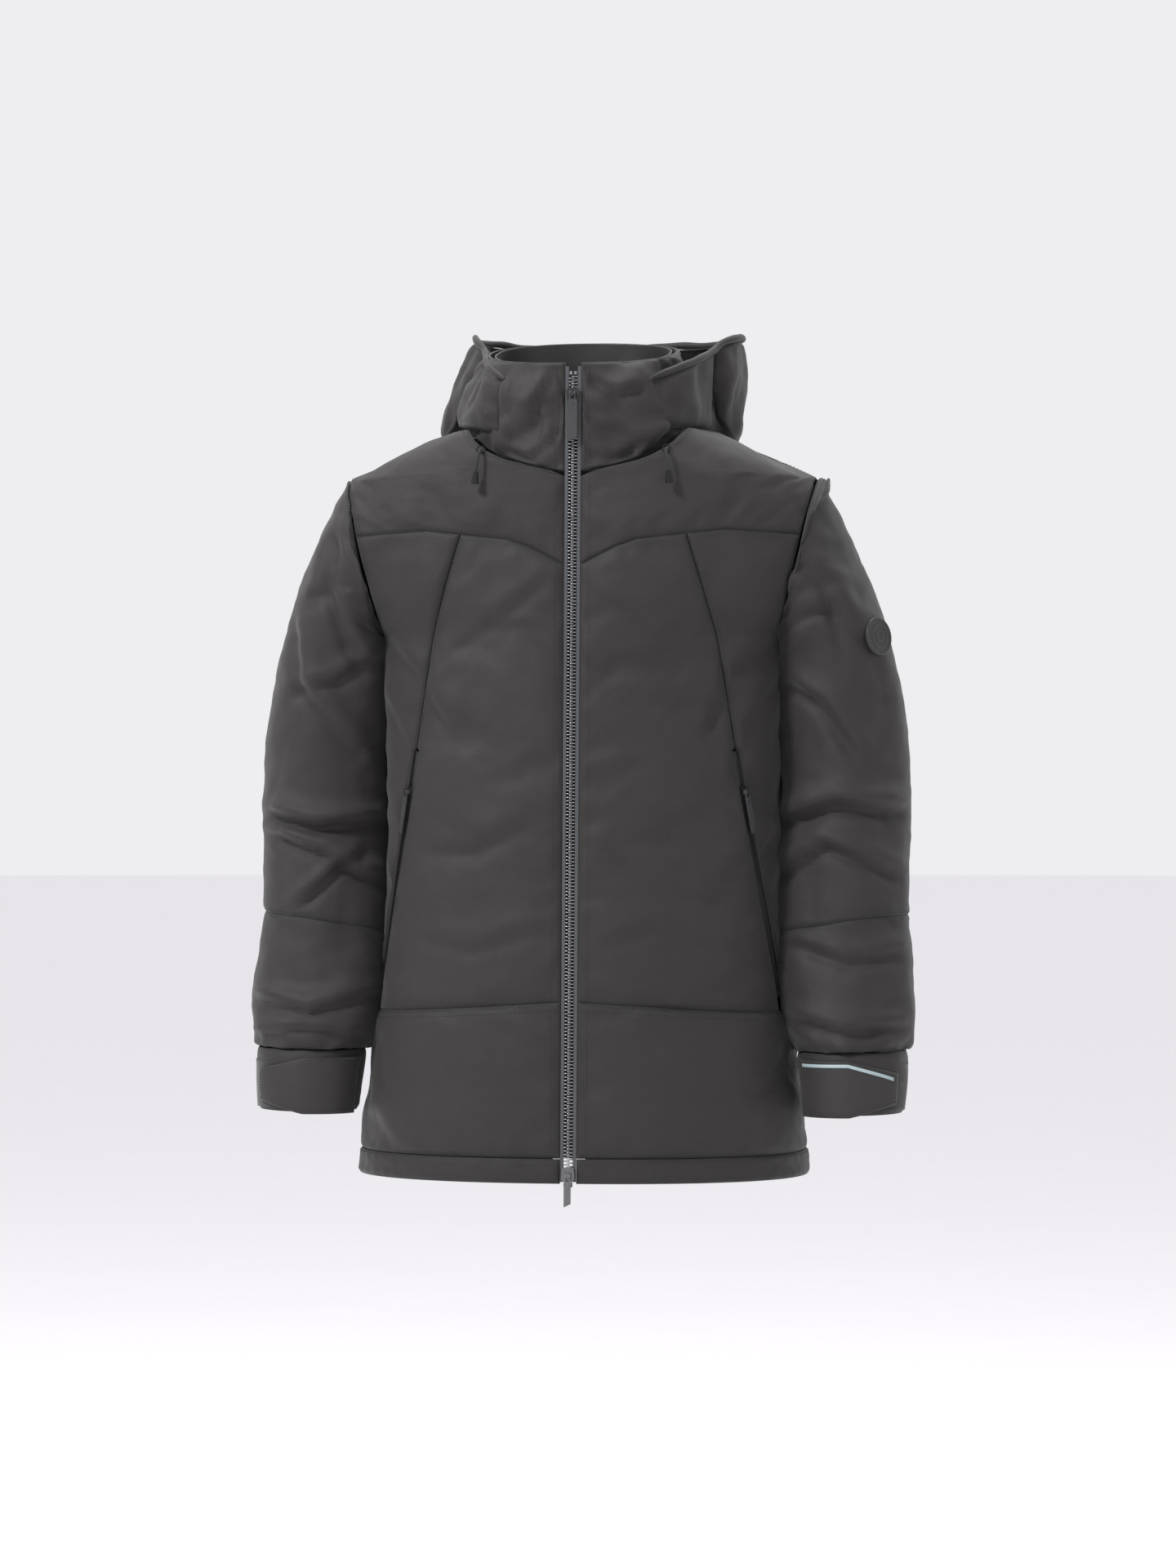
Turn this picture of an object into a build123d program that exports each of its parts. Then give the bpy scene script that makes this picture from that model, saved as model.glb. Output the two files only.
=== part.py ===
from build123d import *
import os
from math import asin, acos, cos, pi, sin, sqrt

# Ski jacket, millimetres. It is drawn with z = 0 at the hem, x = 0 at the zip and -Y to the front.
# At export everything moves so that the hang loop at the inside centre back is the origin.
# "left" is the wearer's left, which is +X. The right-hand pieces are mirror images.
# Every sewn panel is a curved strip of constant thickness: a ruled loft through level sections.

# ---- driving dimensions -------------------------------------------------------------------
FRONT_LENGTH = 754  # hem to collar top along the zip
HEM_FRONT_Y = -142
COLLAR_FRONT_Y = -96
POWER = 2.3  # superellipse exponent of the body's cross-sections
SHELL = 6.0  # padded shell thickness
LINING_GAP = 2.6
LINING = 1.5
FLAP_GAP = 0.6
FLAP = 2.0
SEAM = 0.5  # width of the groove between two panels
STRIP_STEPS = 9  # points across a strip

# height, half width, back depth
TRUNK = [
    (0, 213, 128),
    (60, 208, 127),
    (125, 199, 123),
    (190, 190, 122),
    (260, 185, 125),
    (340, 183, 132),
    (420, 183.5, 137),
    (470, 184.5, 139),
    (505, 188.5, 138),
    (560, 200, 134),
    (610, 212, 124),
    (652, 222, 107),
    (680, 159, 92),
    (706, 100, 78),
]
COLLAR = [
    (640, 108, 90),
    (690, 106, 80),
    (725, 99, 76),
    (760, 93, 73),
    (800, 89, 72),
]
COLLAR_TOP_SLOPE = 0.2  # the collar's top edge rises towards the back
COLLAR_BASE_BACK = 700
ARMPIT_Z = 505
SHOULDER_Z = 652
SEAM_OPENS = 0.13  # how much the yoke draws back from the collar per mm of height
SHOULDER_SLOPE = 2.3  # run of the shoulder per mm of rise
ARMHOLE_DEPTH = 66  # half the armhole's width from front to back
SLEEVE_GAP = 0.8

# sleeve stations: outer point (x, z), inner point (x, z), centre y, half depth
SLEEVE = [
    ((222.8, 652), (189.5, 505), 0, 66),
    ((243, 620), (189, 498), 2, 68),
    ((262, 578), (188.8, 489), 4, 69),
    ((278, 532), (188.8, 478), 6, 68.5),
    ((291, 478), (189, 462), 8, 67),
    ((301, 420), (189.5, 415), 9, 66),
    ((304, 365), (190.5, 365), 8, 65),
    ((303, 325), (191, 325), 5, 64),
    ((301, 290), (192, 285), 0, 62),
    ((300, 238), (193.5, 216), -9, 60),
    ((303, 198), (194.5, 190), -17, 59),
    ((306, 160), (196.5, 155), -25, 57),
    ((306, 117), (203, 115), -33, 52),
    ((305, 88), (207, 86), -39, 49),
    ((302, 56), (209.5, 55), -44, 46),
]
ELBOW_STATION = 9
CUFF_STATION = 12

# seams as straight lines in the front view: height at x = 0 and rise per mm of x
YOKE_LINE = (573, 0.12)
WAIST_LINE = (166, -0.066)
HEM_SEAM_Z = 23
BACK_YOKE_Z = 590
# the collar's front seam: height, x
COLLAR_SEAM = [(653.5, 12), (657, 35), (662, 54), (668, 70), (676, 84), (684, 93), (698, 103)]
# the princess seam and the pocket opening: height, x
PRINCESS = [(150, 190.5), (165, 188), (397, 149), (596, 105), (620, 100)]

ZIP_SLOT = 7.6  # half the gap between the two fronts
ZIP_TOP = 744
ZIP_BOTTOM = 2
TOOTH_PITCH = 3.2
TOOTH_WIDTH = 1.5
TOOTH_REACH = 1.5  # how far a tooth passes the centre line
CHAIN_MID = 2.5  # depth of the chain's mid plane below the outer face
CHAIN_THICK = 3.0
BEAD_INNER, BEAD_OUTER = 3.0, 4.2
TAPE_THICK = 1.0
SLIDER_TOP_S = 726
SLIDER_BOTTOM_S = 8
SLIDER_LENGTH = 13
PULL_PIN_R = 1.0
PIN_CLEARANCE = 0.08
PULL_AXIS_OUT = 3.9  # the pull's pin stands this far outside the front face

POCKET_TOP = (149, 397)
POCKET_BOTTOM = (188, 165)
POCKET_SLOT = 5.0  # half width
POCKET_EDGE = 4.6  # how far the panels' edges stand back from the seam line, across the front view
POCKET_SLIDER_S = 40  # distance of the parked slider below the slot's top

TAB_SEWN_TURN = -158  # degrees round the cuff: -90 is the front, -180 the body's side
CUFF_MIDDLE = 0.528  # the middle station's share of the cuff's height
TAB_CLEARANCE = 1.2
TAB_THICK = 2.6
PATCH_CLEARANCE = 0.25
PATCH_THICK = 0.55

HOOD = [  # height, centre y, half width, half depth, foremost y of the moving hood
    (632, 130, 84, 26, 114),
    (645, 122, 104, 36, 112),
    (660, 114, 122, 50, 108),
    (680, 96, 134, 70, 90),
    (692, 84, 140, 82, 62),
    (704, 78, 144, 90, 30),
    (745, 68, 149, 98, 6),
    (775, 64, 148, 97, 6),
    (796, 60, 145, 94, 6),
]
HOOD_POWER = 2.2
HOOD_SHELL = 6.0
HOOD_SPLIT_X = 62
HOOD_RIM = 7
WING = [(104, -52), (109, -32), (111.5, -18), (112, -6)]  # plan of the wing's outer face (x, y)
WING_Z = (708, 784)

CORD_D = 2.6
CORD_GRIP = 4  # how far the cord reaches into its end piece
EYELET_HOLE_R = 3.1  # leaves room for the cord to swing
EYELET_R = 4.2
EYELET_OUT = 2.6  # the eyelet's front stands this far outside the yoke's face
EYELET = (86, 674)
HANG_LOOP_Z = 735
LOOP_WIDTH = 9
LOOP_SPAN = 34
LOOP_DEPTH = 14
BADGE_R = 18
BADGE_STATION = 3.5
BADGE_TURN = 60  # degrees round from the front
ORIGIN = (0, 50, HANG_LOOP_Z)


# ---- the body's surface -------------------------------------------------------------------
def front_y(z):
    """The straight line of the zip, seen from the side."""
    return HEM_FRONT_Y + (COLLAR_FRONT_Y - HEM_FRONT_Y) * z / FRONT_LENGTH


def between(table, z, column):
    """A table's value at a height, in straight lines."""
    for low, high in zip(table, table[1:]):
        if z <= high[0]:
            share = (z - low[0]) / (high[0] - low[0])
            return low[column] + (high[column] - low[column]) * max(share, 0)
    return table[-1][column]


def armhole_y(z):
    """Half the armhole's opening from front to back at a height."""
    middle, half = (SHOULDER_Z + ARMPIT_Z) / 2, (SHOULDER_Z - ARMPIT_Z) / 2
    if abs(z - middle) >= half:
        return 0.0
    return ARMHOLE_DEPTH * sqrt(1 - ((z - middle) / half) ** 2)


def section(table, z, back):
    """Half width and half depth of the superellipse at a height, and where its side edge lies."""
    edge_x = between(table, z, 1)
    depth = between(table, z, 2) if back else -front_y(z)
    edge_y = armhole_y(z) if table is TRUNK else 0.0
    width = edge_x / (1 - (edge_y / depth) ** POWER) ** (1 / POWER)
    return width, depth, asin((edge_y / depth) ** (POWER / 2))


def angle_of_x(table, z, back, x):
    width = section(table, z, back)[0]
    return acos(min(x / width, 1) ** (POWER / 2))


def surface(table, z, back, angle, inset):
    """A point at an angle (0 at the side, a quarter turn at x = 0), moved in from the outer face."""
    width, depth, _ = section(table, z, back)
    x = width * cos(angle) ** (2 / POWER)
    y = depth * sin(angle) ** (2 / POWER)
    normal = Vector((x / width) ** (POWER - 1) / width, (y / depth) ** (POWER - 1) / depth).normalized()
    slope = SHOULDER_SLOPE if table is TRUNK and z >= SHOULDER_Z else 0
    point = Vector(x, y) - normal * (inset * sqrt(1 + (slope * normal.X) ** 2))
    return Vector(point.X, point.Y if back else -point.Y, z)


def arc_points(table, height, back, first, last, inset):
    """Points across a section from angle(first) to angle(last); height may slope with x or y."""
    points = []
    for i in range(STRIP_STEPS):
        z = height(0, 0)
        for _ in range(6):
            a0, a1 = first(z), last(z)
            angle = a0 + (a1 - a0) * i / (STRIP_STEPS - 1)
            point = surface(table, z, back, angle, 0)
            z = height(point.X, point.Y)
        point = surface(table, z, back, angle, inset)
        points.append(Vector(point.X, point.Y, height(point.X, point.Y)))
    return points


def strip_wire(outer, inner):
    """A thin closed section: the outer curve, the inner curve and two short ends."""
    return Wire([Edge.make_spline(outer), Edge.make_line(outer[-1], inner[-1]), Edge.make_spline(inner[::-1]),
                 Edge.make_line(inner[0], outer[0])])


def loft(wires):
    return Solid.make_loft(wires, ruled=True)


def level(z):
    return lambda x, y: z


def slanted(line, shift=0.0):
    return lambda x, y: line[0] + line[1] * x + shift


def levels_between(low, high, knots):
    """The knot heights strictly between two heights."""
    return [level(z) for z in knots if low + 4 < z < high - 4]


TRUNK_KNOTS = [30, 60, 90, 125, 158, 190, 225, 260, 300, 340, 380, 420, 450, 480, 500, 505, 507, 511, 518, 530, 545,
               560, 578, 600, 620, 634, 644, 650, 652, 660, 670, 680, 690]


def front_strip(heights, first, last, depth0=0.0, depth1=SHELL, table=TRUNK, back=False):
    """A panel between two curves of the surface; first and last give an angle at a height."""
    wires = []
    for height in heights:
        outer = arc_points(table, height, back, first, last, depth0)
        inner = arc_points(table, height, back, first, last, depth1)
        wires.append(strip_wire(outer, inner))
    return loft(wires)


def whole_back(heights, depth0=0.0, depth1=SHELL, table=TRUNK, trim=0.0):
    """A back panel from side seam to side seam in one piece."""
    wires = []
    for height in heights:
        curves = []
        for inset in (depth0, depth1):
            half = arc_points(table, height, True, side_edge(table, True, trim), lambda z: pi / 2, inset)
            curves.append(half + [Vector(-p.X, p.Y, p.Z) for p in reversed(half[:-1])])
        wires.append(strip_wire(*curves))
    return loft(wires)


def side_edge(table, back, trim=0.0):
    """The angle of the side seam or armhole edge, a little inside it."""
    def angle(z):
        width, depth, edge = section(table, z, back)
        return edge + (SEAM / 2 + trim) / depth
    return angle


def at_x(table, back, x_of_z):
    return lambda z: angle_of_x(table, z, back, x_of_z(z))


def solids_of(shape):
    shapes = shape if isinstance(shape, list) else [shape]
    return [solid for one in shapes for solid in one.solids()]


def largest(shape):
    return max(solids_of(shape), key=lambda s: s.volume)


def mirrored(shape):
    return shape.mirror(Plane.YZ)


# ---- the sewn shell -----------------------------------------------------------------------
def princess_x(side):
    """The princess seam's x at a height, on its inner (-1) or outer (+1) side."""
    def x_of_z(z):
        pocket = z < POCKET_TOP[1] + 3
        gap = POCKET_EDGE if pocket else SEAM / 2
        return between(PRINCESS, z, 1) + side * gap
    return x_of_z


def zip_edge(z):
    return ZIP_SLOT


def collar_seam_x(side):
    """The collar seam's x at a height, on the collar's side (-1) or the yoke's (+1)."""
    def x_of_z(z):
        if z < COLLAR_SEAM[0][0]:
            return ZIP_SLOT
        gap = SEAM + (SEAM_OPENS * (z - COLLAR_SEAM[0][0]) if side > 0 else 0)
        return max(between(COLLAR_SEAM, z, 1) + side * gap, ZIP_SLOT)
    return x_of_z


def front_panels():
    side = side_edge(TRUNK, False)
    front_edge = at_x(TRUNK, False, zip_edge)
    princess_in = at_x(TRUNK, False, princess_x(-1))
    princess_out = at_x(TRUNK, False, princess_x(1))
    waist_low, waist_high = slanted(WAIST_LINE, -SEAM / 2), slanted(WAIST_LINE, SEAM / 2)
    yoke_low, yoke_high = slanted(YOKE_LINE, -SEAM / 2), slanted(YOKE_LINE, SEAM / 2)
    lower = [level(HEM_SEAM_Z + SEAM / 2)] + levels_between(HEM_SEAM_Z, 146, TRUNK_KNOTS) + [waist_low]
    split = [level(POCKET_TOP[1]), level(POCKET_TOP[1] + 6)]
    middle = (levels_between(168, POCKET_TOP[1], TRUNK_KNOTS) + split
              + levels_between(POCKET_TOP[1] + 6, 572, TRUNK_KNOTS))
    yoke = [yoke_high] + [level(z) for z in (606, 620, 634, 644, 650)]
    seam = [level(652)] + [level(z) for z, _ in COLLAR_SEAM]
    return {
        "lower_front": front_strip(lower, side, front_edge),
        "front_panel": front_strip([waist_high] + middle + [yoke_low], princess_in, front_edge),
        "side_panel": front_strip([waist_high] + middle + [yoke_low], side, princess_out),
        "front_yoke": front_strip(yoke + seam, side, at_x(TRUNK, False, collar_seam_x(1))),
    }


def collar_top(x, y):
    return FRONT_LENGTH + (y - COLLAR_FRONT_Y) * COLLAR_TOP_SLOPE


def collar_front(depth0=0.0, depth1=SHELL, edge=zip_edge):
    seam = at_x(COLLAR, False, collar_seam_x(-1))
    side = side_edge(COLLAR, False)

    def outer_edge(z):
        return max(seam(z), side(z)) if z < COLLAR_SEAM[-1][0] else side(z)

    heights = [level(z + 0.6) for z, _ in COLLAR_SEAM] + [level(725), level(745), collar_top]
    return front_strip(heights, outer_edge, at_x(COLLAR, False, edge), depth0, depth1, COLLAR)


def collar_back(depth0=0.0, depth1=SHELL):
    heights = [level(COLLAR_BASE_BACK + SEAM), level(725), level(750), collar_top]
    return whole_back(heights, depth0, depth1, COLLAR)


def back_panels():
    low = [level(HEM_SEAM_Z + SEAM / 2)] + levels_between(HEM_SEAM_Z, 155, TRUNK_KNOTS) + [level(155)]
    mid = [level(155 + SEAM)] + levels_between(158, BACK_YOKE_Z, TRUNK_KNOTS) + [level(BACK_YOKE_Z)]
    high = [level(BACK_YOKE_Z + SEAM)] + levels_between(BACK_YOKE_Z, 698, TRUNK_KNOTS) + [level(698)]
    return {"lower_back": whole_back(low), "back_panel": whole_back(mid), "back_yoke": whole_back(high)}


def hem_halves():
    """The hem band on one side: from the zip round the side seam to the centre back."""
    wires = []
    for z in (0, HEM_SEAM_Z - SEAM / 2):
        curves = []
        for inset in (0, SHELL):
            front = arc_points(TRUNK, level(z), False, at_x(TRUNK, False, zip_edge), lambda z: 0.02, inset)
            rear = arc_points(TRUNK, level(z), True, lambda z: 0.02, at_x(TRUNK, True, lambda z: 0.3), inset)
            curves.append(front + rear)
        wires.append(strip_wire(*curves))
    half = loft(wires)
    return [half, mirrored(half)]


def linings():
    outer, inner = SHELL + LINING_GAP, SHELL + LINING_GAP + LINING
    edge = at_x(TRUNK, False, lambda z: 2 * ZIP_SLOT)
    heights = [level(HEM_SEAM_Z + 2)] + levels_between(HEM_SEAM_Z, 652, TRUNK_KNOTS) + [level(650)]
    front = front_strip(heights, side_edge(TRUNK, False, 1.5), edge, outer, inner)
    rear = whole_back([level(HEM_SEAM_Z + 2)] + levels_between(HEM_SEAM_Z, 690, TRUNK_KNOTS) + [level(690)],
                      outer, inner, TRUNK, 1.5)
    neck = collar_front(outer, inner, lambda z: 2 * ZIP_SLOT)
    return {
        "body_lining": [front, mirrored(front), rear],
        "collar_lining": [neck, mirrored(neck), collar_back(outer, inner)],
    }


def storm_flap(depth):
    half = 2 * ZIP_SLOT + 4
    wires = []
    for z in (HEM_SEAM_Z + 3, 300, 640):
        curves = []
        for inset in (depth, depth + FLAP):
            points = [surface(TRUNK, z, False, angle_of_x(TRUNK, z, False, abs(x)), inset)
                      for x in (-half, -half / 2, -1, 1, half / 2, half)]
            xs = (-1, -1, -1, 1, 1, 1)
            curves.append([Vector(sign * p.X, p.Y, p.Z) for sign, p in zip(xs, points)])
        wires.append(strip_wire(*curves))
    return loft(wires)


def pocket_bag(depth):
    heights = [level(180), level(225), level(260), level(300), level(340), level(380)]
    return front_strip(heights, at_x(TRUNK, False, lambda z: 158 - (z - 180) * 0.1), at_x(TRUNK, False, lambda z: 45),
                       depth, depth + FLAP)


# ---- sleeves ------------------------------------------------------------------------------
def sleeve_curve(position, grow, along=0.0):
    """The sleeve's closed section at a station (fractions lie between), grown outwards."""
    low = min(int(position), len(SLEEVE) - 2)
    share = position - low

    def mix(a, b):
        return a + (b - a) * share

    (ox0, oz0), (ix0, iz0), y0, d0 = SLEEVE[low]
    (ox1, oz1), (ix1, iz1), y1, d1 = SLEEVE[low + 1]
    outer = Vector(mix(ox0, ox1), mix(y0, y1), mix(oz0, oz1))
    inner = Vector(mix(ix0, ix1), mix(y0, y1), mix(iz0, iz1))
    across = (outer - inner).normalized()
    down = across.cross(Vector(0, 1, 0)) * -1
    if down.Z > 0:
        down = down * -1
    centre = (outer + inner) * 0.5 + down * along
    half_w, half_d = (outer - inner).length / 2 + grow, mix(d0, d1) + grow
    points = []
    for i in range(20):
        turn = 2 * pi * i / 20
        points.append(centre + across * (half_w * cos(turn)) + Vector(0, half_d * sin(turn), 0))
    return points


def tube_between(stations, grow0, grow1):
    """A sleeve tube from inner surface grow0 to outer surface grow1."""
    def skin(grow, extra):
        wires = []
        for i, station in enumerate(stations):
            along = -extra if i == 0 else extra if i == len(stations) - 1 else 0
            wires.append(Wire([Edge.make_spline(sleeve_curve(station, grow, along), periodic=True)]))
        return Solid.make_loft(wires, ruled=True)
    return largest(skin(grow1, 0).cut(skin(grow0, 3)))


def sleeve_pieces():
    gap = 0.01
    last = len(SLEEVE) - 1
    lining = SHELL + LINING_GAP
    return {
        "sleeve_upper": tube_between(list(range(0, ELBOW_STATION)) + [ELBOW_STATION - gap], -SHELL, 0),
        "sleeve_lower": tube_between([ELBOW_STATION + gap, 10, 11, CUFF_STATION - gap], -SHELL, 0),
        "cuff": tube_between([CUFF_STATION + gap, 13, last], -SHELL, 0),
        "sleeve_lining": tube_between(list(range(0, last + 1)), -lining - LINING, -lining),
    }


# ---- front zip ----------------------------------------------------------------------------
def zip_frame():
    """x across, y inwards from the outer face, z up along the zip."""
    along = Vector(0, COLLAR_FRONT_Y - HEM_FRONT_Y, FRONT_LENGTH).normalized()
    return Plane(Vector(0, HEM_FRONT_Y, 0), x_dir=(1, 0, 0), z_dir=along)


def slab(outline, y0, y1):
    """A flat plate with the outline (x, z) between two depths of a zip frame."""
    face = Face(Wire.make_polygon([Vector(x, y0, z) for x, z in outline], close=True))
    return Solid.extrude(face, Vector(0, y1 - y0, 0))


def tooth_rack(first, last, offset):
    """One side's teeth on their bead, reaching from +x past the centre line."""
    outline = [(BEAD_OUTER, first), (BEAD_OUTER, last), (BEAD_INNER, last)]
    tops = []
    z = first + offset
    while z + TOOTH_WIDTH < last:
        tops.append(z)
        z += TOOTH_PITCH
    for z in reversed(tops):
        outline.append((BEAD_INNER, z + TOOTH_WIDTH))
        outline.append((-TOOTH_REACH, z + TOOTH_WIDTH * 0.9))
        outline.append((-TOOTH_REACH, z + TOOTH_WIDTH * 0.1))
        outline.append((BEAD_INNER, z))
    outline.append((BEAD_INNER, first))
    return slab(outline, CHAIN_MID - CHAIN_THICK / 2, CHAIN_MID + CHAIN_THICK / 2)


def tape():
    inner, outer = BEAD_OUTER + 0.05, ZIP_SLOT - 0.3
    outline = [(inner, ZIP_BOTTOM), (outer, ZIP_BOTTOM), (outer, FRONT_LENGTH - 2), (inner, FRONT_LENGTH - 2)]
    return slab(outline, CHAIN_MID - TAPE_THICK / 2, CHAIN_MID + TAPE_THICK / 2)


def slider(half_top, half_bottom, length, front, back, flange):
    """Front plate with its lug, and back plate, round a chain; z = 0 at the lug's hole."""
    high, low = length * 0.45, -length * 0.55
    outline = [(-half_bottom, low), (half_bottom, low), (half_top, high - 2.5), (half_top - 2, high),
               (2 - half_top, high), (-half_top, high - 2.5)]
    face_plate = slab(outline, front - 1.7, front)
    lug = Solid.make_box(2.4, PULL_AXIS_OUT + 1.9 + front - 1.7, 5.2, Plane((-1.2, -PULL_AXIS_OUT - 1.9, -2.6)))
    hole = Solid.make_cylinder(PULL_PIN_R + PIN_CLEARANCE, 10,
                               Plane(Vector(-5, -PULL_AXIS_OUT, 0), z_dir=(1, 0, 0)))
    back_plate = slab(outline, back, back + 1.3)
    pieces = [face_plate.fuse(lug).cut(hole), back_plate]
    if flange:
        inner = BEAD_OUTER + 0.3
        for side in (-1, 1):
            x0, x1 = sorted((side * inner, side * half_bottom))
            rail_front = Solid.make_box(x1 - x0, 1.1, length * 0.7, Plane((x0, front - 0.05, low)))
            rail_back = Solid.make_box(x1 - x0, 1.1, length * 0.7, Plane((x0, back - 1.05, low)))
            pieces[0] = pieces[0].fuse(rail_front)
            pieces[1] = pieces[1].fuse(rail_back)
    return pieces


def pull(width, length, thick=1.6):
    """Pull tab on its pin: two ears, a neck, a tab with a slanted end and a rivet hole."""
    ear_r = 2.2
    y = -PULL_AXIS_OUT
    pin = Solid.make_cylinder(PULL_PIN_R, 5.6, Plane(Vector(-2.8, y, 0), z_dir=(1, 0, 0)))
    whole = pin
    for x in (-2.8, 1.45):
        ear = Solid.make_cylinder(ear_r, 1.35, Plane(Vector(x, y, 0), z_dir=(1, 0, 0)))
        arm = Solid.make_box(1.35, thick, 6.5, Plane((x, y - thick / 2, -6.5)))
        whole = whole.fuse(ear).fuse(arm)
    half = width / 2
    outline = [(-half, -7), (1 - half, -5.5), (half - 1, -5.5), (half, -7), (half, -length + half), (-half, -length)]
    tab = slab(outline, y - thick / 2, y + thick / 2)
    rivet = Solid.make_cylinder(half * 0.36, thick + 1.0, Plane(Vector(0, y - thick / 2 - 0.5, -10), z_dir=(0, 1, 0)))
    return whole.fuse(tab).fuse(rivet)


# ---- pockets ------------------------------------------------------------------------------
def surface_point(x, z):
    """The body's outer front face at a place in the front view."""
    return surface(TRUNK, z, False, angle_of_x(TRUNK, z, False, x), 0)


def pocket_frame():
    """x across the zip, y inwards, z up along the zip from the slot's lower end."""
    top, bottom = surface_point(*POCKET_TOP), surface_point(*POCKET_BOTTOM)
    along = (top - bottom).normalized()
    mid_x, mid_z = (top.X + bottom.X) / 2, (top.Z + bottom.Z) / 2
    across = surface_point(mid_x + 6, mid_z) - surface_point(mid_x - 6, mid_z)
    inwards = along.cross(across).normalized()
    return Plane(bottom, x_dir=inwards.cross(along), z_dir=along)


POCKET_LENGTH = (surface_point(*POCKET_TOP) - surface_point(*POCKET_BOTTOM)).length


def pocket_chain():
    half = POCKET_SLOT - 0.2
    tape_half, coil = half, 1.8
    outline = [(-tape_half, 2), (tape_half, 2), (tape_half, 3), (coil, 3), (coil, 4.3), (-coil, 4.3), (-coil, 3),
               (-tape_half, 3)]
    face = Face(Wire.make_polygon([Vector(x, y, 2) for x, y in outline], close=True))
    return Solid.extrude(face, Vector(0, 0, POCKET_LENGTH - 4))


# ---- cuffs --------------------------------------------------------------------------------
def cuff_arc(z_share, grow, first, last, steps=11):
    """Points on the cuff's surface at a share of its height, between two turns in degrees.

    0 faces away from the body, -90 faces forward and -180 faces the body.
    """
    low, high = CUFF_STATION + 0.15, len(SLEEVE) - 1.05
    ring = high + (low - high) * z_share
    low_i = min(int(ring), len(SLEEVE) - 2)
    share = ring - low_i
    (ox0, oz0), (ix0, iz0), y0, d0 = SLEEVE[low_i]
    (ox1, oz1), (ix1, iz1), y1, d1 = SLEEVE[low_i + 1]
    outer = Vector(ox0 + (ox1 - ox0) * share, y0 + (y1 - y0) * share, oz0 + (oz1 - oz0) * share)
    inner = Vector(ix0 + (ix1 - ix0) * share, y0 + (y1 - y0) * share, iz0 + (iz1 - iz0) * share)
    across = (outer - inner).normalized()
    centre = (outer + inner) * 0.5
    half_w, half_d = (outer - inner).length / 2 + grow, d0 + (d1 - d0) * share + grow
    points = []
    for i in range(steps):
        turn = (first + (last - first) * i / (steps - 1)) * pi / 180
        points.append(centre + across * (half_w * cos(turn)) + Vector(0, half_d * sin(turn), 0))
    return points


def cuff_band(shares, grow0, grow1, first, last):
    """A curved band; first and last give the end turns at each share of the height."""
    wires = [strip_wire(cuff_arc(share, grow1, first(share), last(share)),
                        cuff_arc(share, grow0, first(share), last(share))) for share in shares]
    return loft(wires)


def cuff_strap():
    """The strap over the front of the cuff; its free end, on the outer side, is tapered."""
    return cuff_band((0.0, 0.25, CUFF_MIDDLE, 0.8, 1.0), TAB_CLEARANCE, TAB_CLEARANCE + TAB_THICK,
                     lambda share: TAB_SEWN_TURN, lambda share: -34 - 46 * abs(share - 0.42))


def cuff_patch():
    return cuff_band((0.08, CUFF_MIDDLE, 0.9), PATCH_CLEARANCE, PATCH_CLEARANCE + PATCH_THICK, lambda share: -75,
                     lambda share: 12)


# ---- hood ---------------------------------------------------------------------------------
def hood_point(z, angle, inset):
    """Angle 0 is the +X side and a quarter turn is the back."""
    centre, half_w, half_d = (between(HOOD, z, i) for i in (1, 2, 3))
    c, s_ = cos(angle), sin(angle)
    x = (half_w - inset) * abs(c) ** (2 / HOOD_POWER) * (1 if c >= 0 else -1)
    y = (half_d - inset) * abs(s_) ** (2 / HOOD_POWER) * (1 if s_ >= 0 else -1)
    return Vector(x, centre + y, z)


def hood_angle_at_y(z, y):
    centre, half_d = between(HOOD, z, 1), between(HOOD, z, 3)
    share = (y - centre) / half_d
    size = min(abs(share), 1) ** (HOOD_POWER / 2)
    return asin(size) * (1 if share >= 0 else -1)


def hood_angle_at_x(z, x):
    return acos(min(x / between(HOOD, z, 2), 1) ** (HOOD_POWER / 2))


def hood_strip(heights, first, last, inset0, inset1, steps=11):
    wires = []
    for z in heights:
        a0, a1 = first(z), last(z)
        angles = [a0 + (a1 - a0) * i / (steps - 1) for i in range(steps)]
        wires.append(strip_wire([hood_point(z, a, inset0) for a in angles],
                                [hood_point(z, a, inset1) for a in angles]))
    return loft(wires)


def hood_pieces():
    rim_z = HOOD[-1][0] - HOOD_RIM
    gap = SEAM / 2
    heights = [z for z, *_ in HOOD if z < rim_z - 5] + [rim_z - gap]

    def front(z):
        return hood_angle_at_y(z, between(HOOD, z, 4))

    def split(x):
        return lambda z: hood_angle_at_x(z, x)

    side = hood_strip(heights, front, split(HOOD_SPLIT_X + gap), 0, HOOD_SHELL)
    centre = hood_strip(heights, split(HOOD_SPLIT_X - gap), lambda z: pi - hood_angle_at_x(z, HOOD_SPLIT_X - gap),
                        0, HOOD_SHELL)
    rim = hood_strip([rim_z + gap, HOOD[-1][0]], front, lambda z: pi - front(z), -1, HOOD_SHELL + 1, 25)
    wires = []
    for z in WING_Z:
        outer = [Vector(x, y, z) for x, y in WING]
        wires.append(strip_wire(outer, [p + Vector(-HOOD_SHELL, 1.5, 0) for p in outer]))
    return {"hood_side": side, "hood_centre": centre, "hood_rim": rim, "hood_wing": loft(wires)}


# ---- drawcord ends and hang loop ----------------------------------------------------------
def cord_route():
    """From the eyelet out and down to the cord end."""
    start = surface_point(*EYELET) + Vector(0, -EYELET_OUT - 0.1, 0)
    return [start, start + Vector(0.2, -6, 0.3), start + Vector(0.8, -10.5, -4.5), start + Vector(1.8, -12.5, -11),
            start + Vector(2.8, -13.2, -18), start + Vector(3.4, -13.4, -25.2)]


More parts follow.
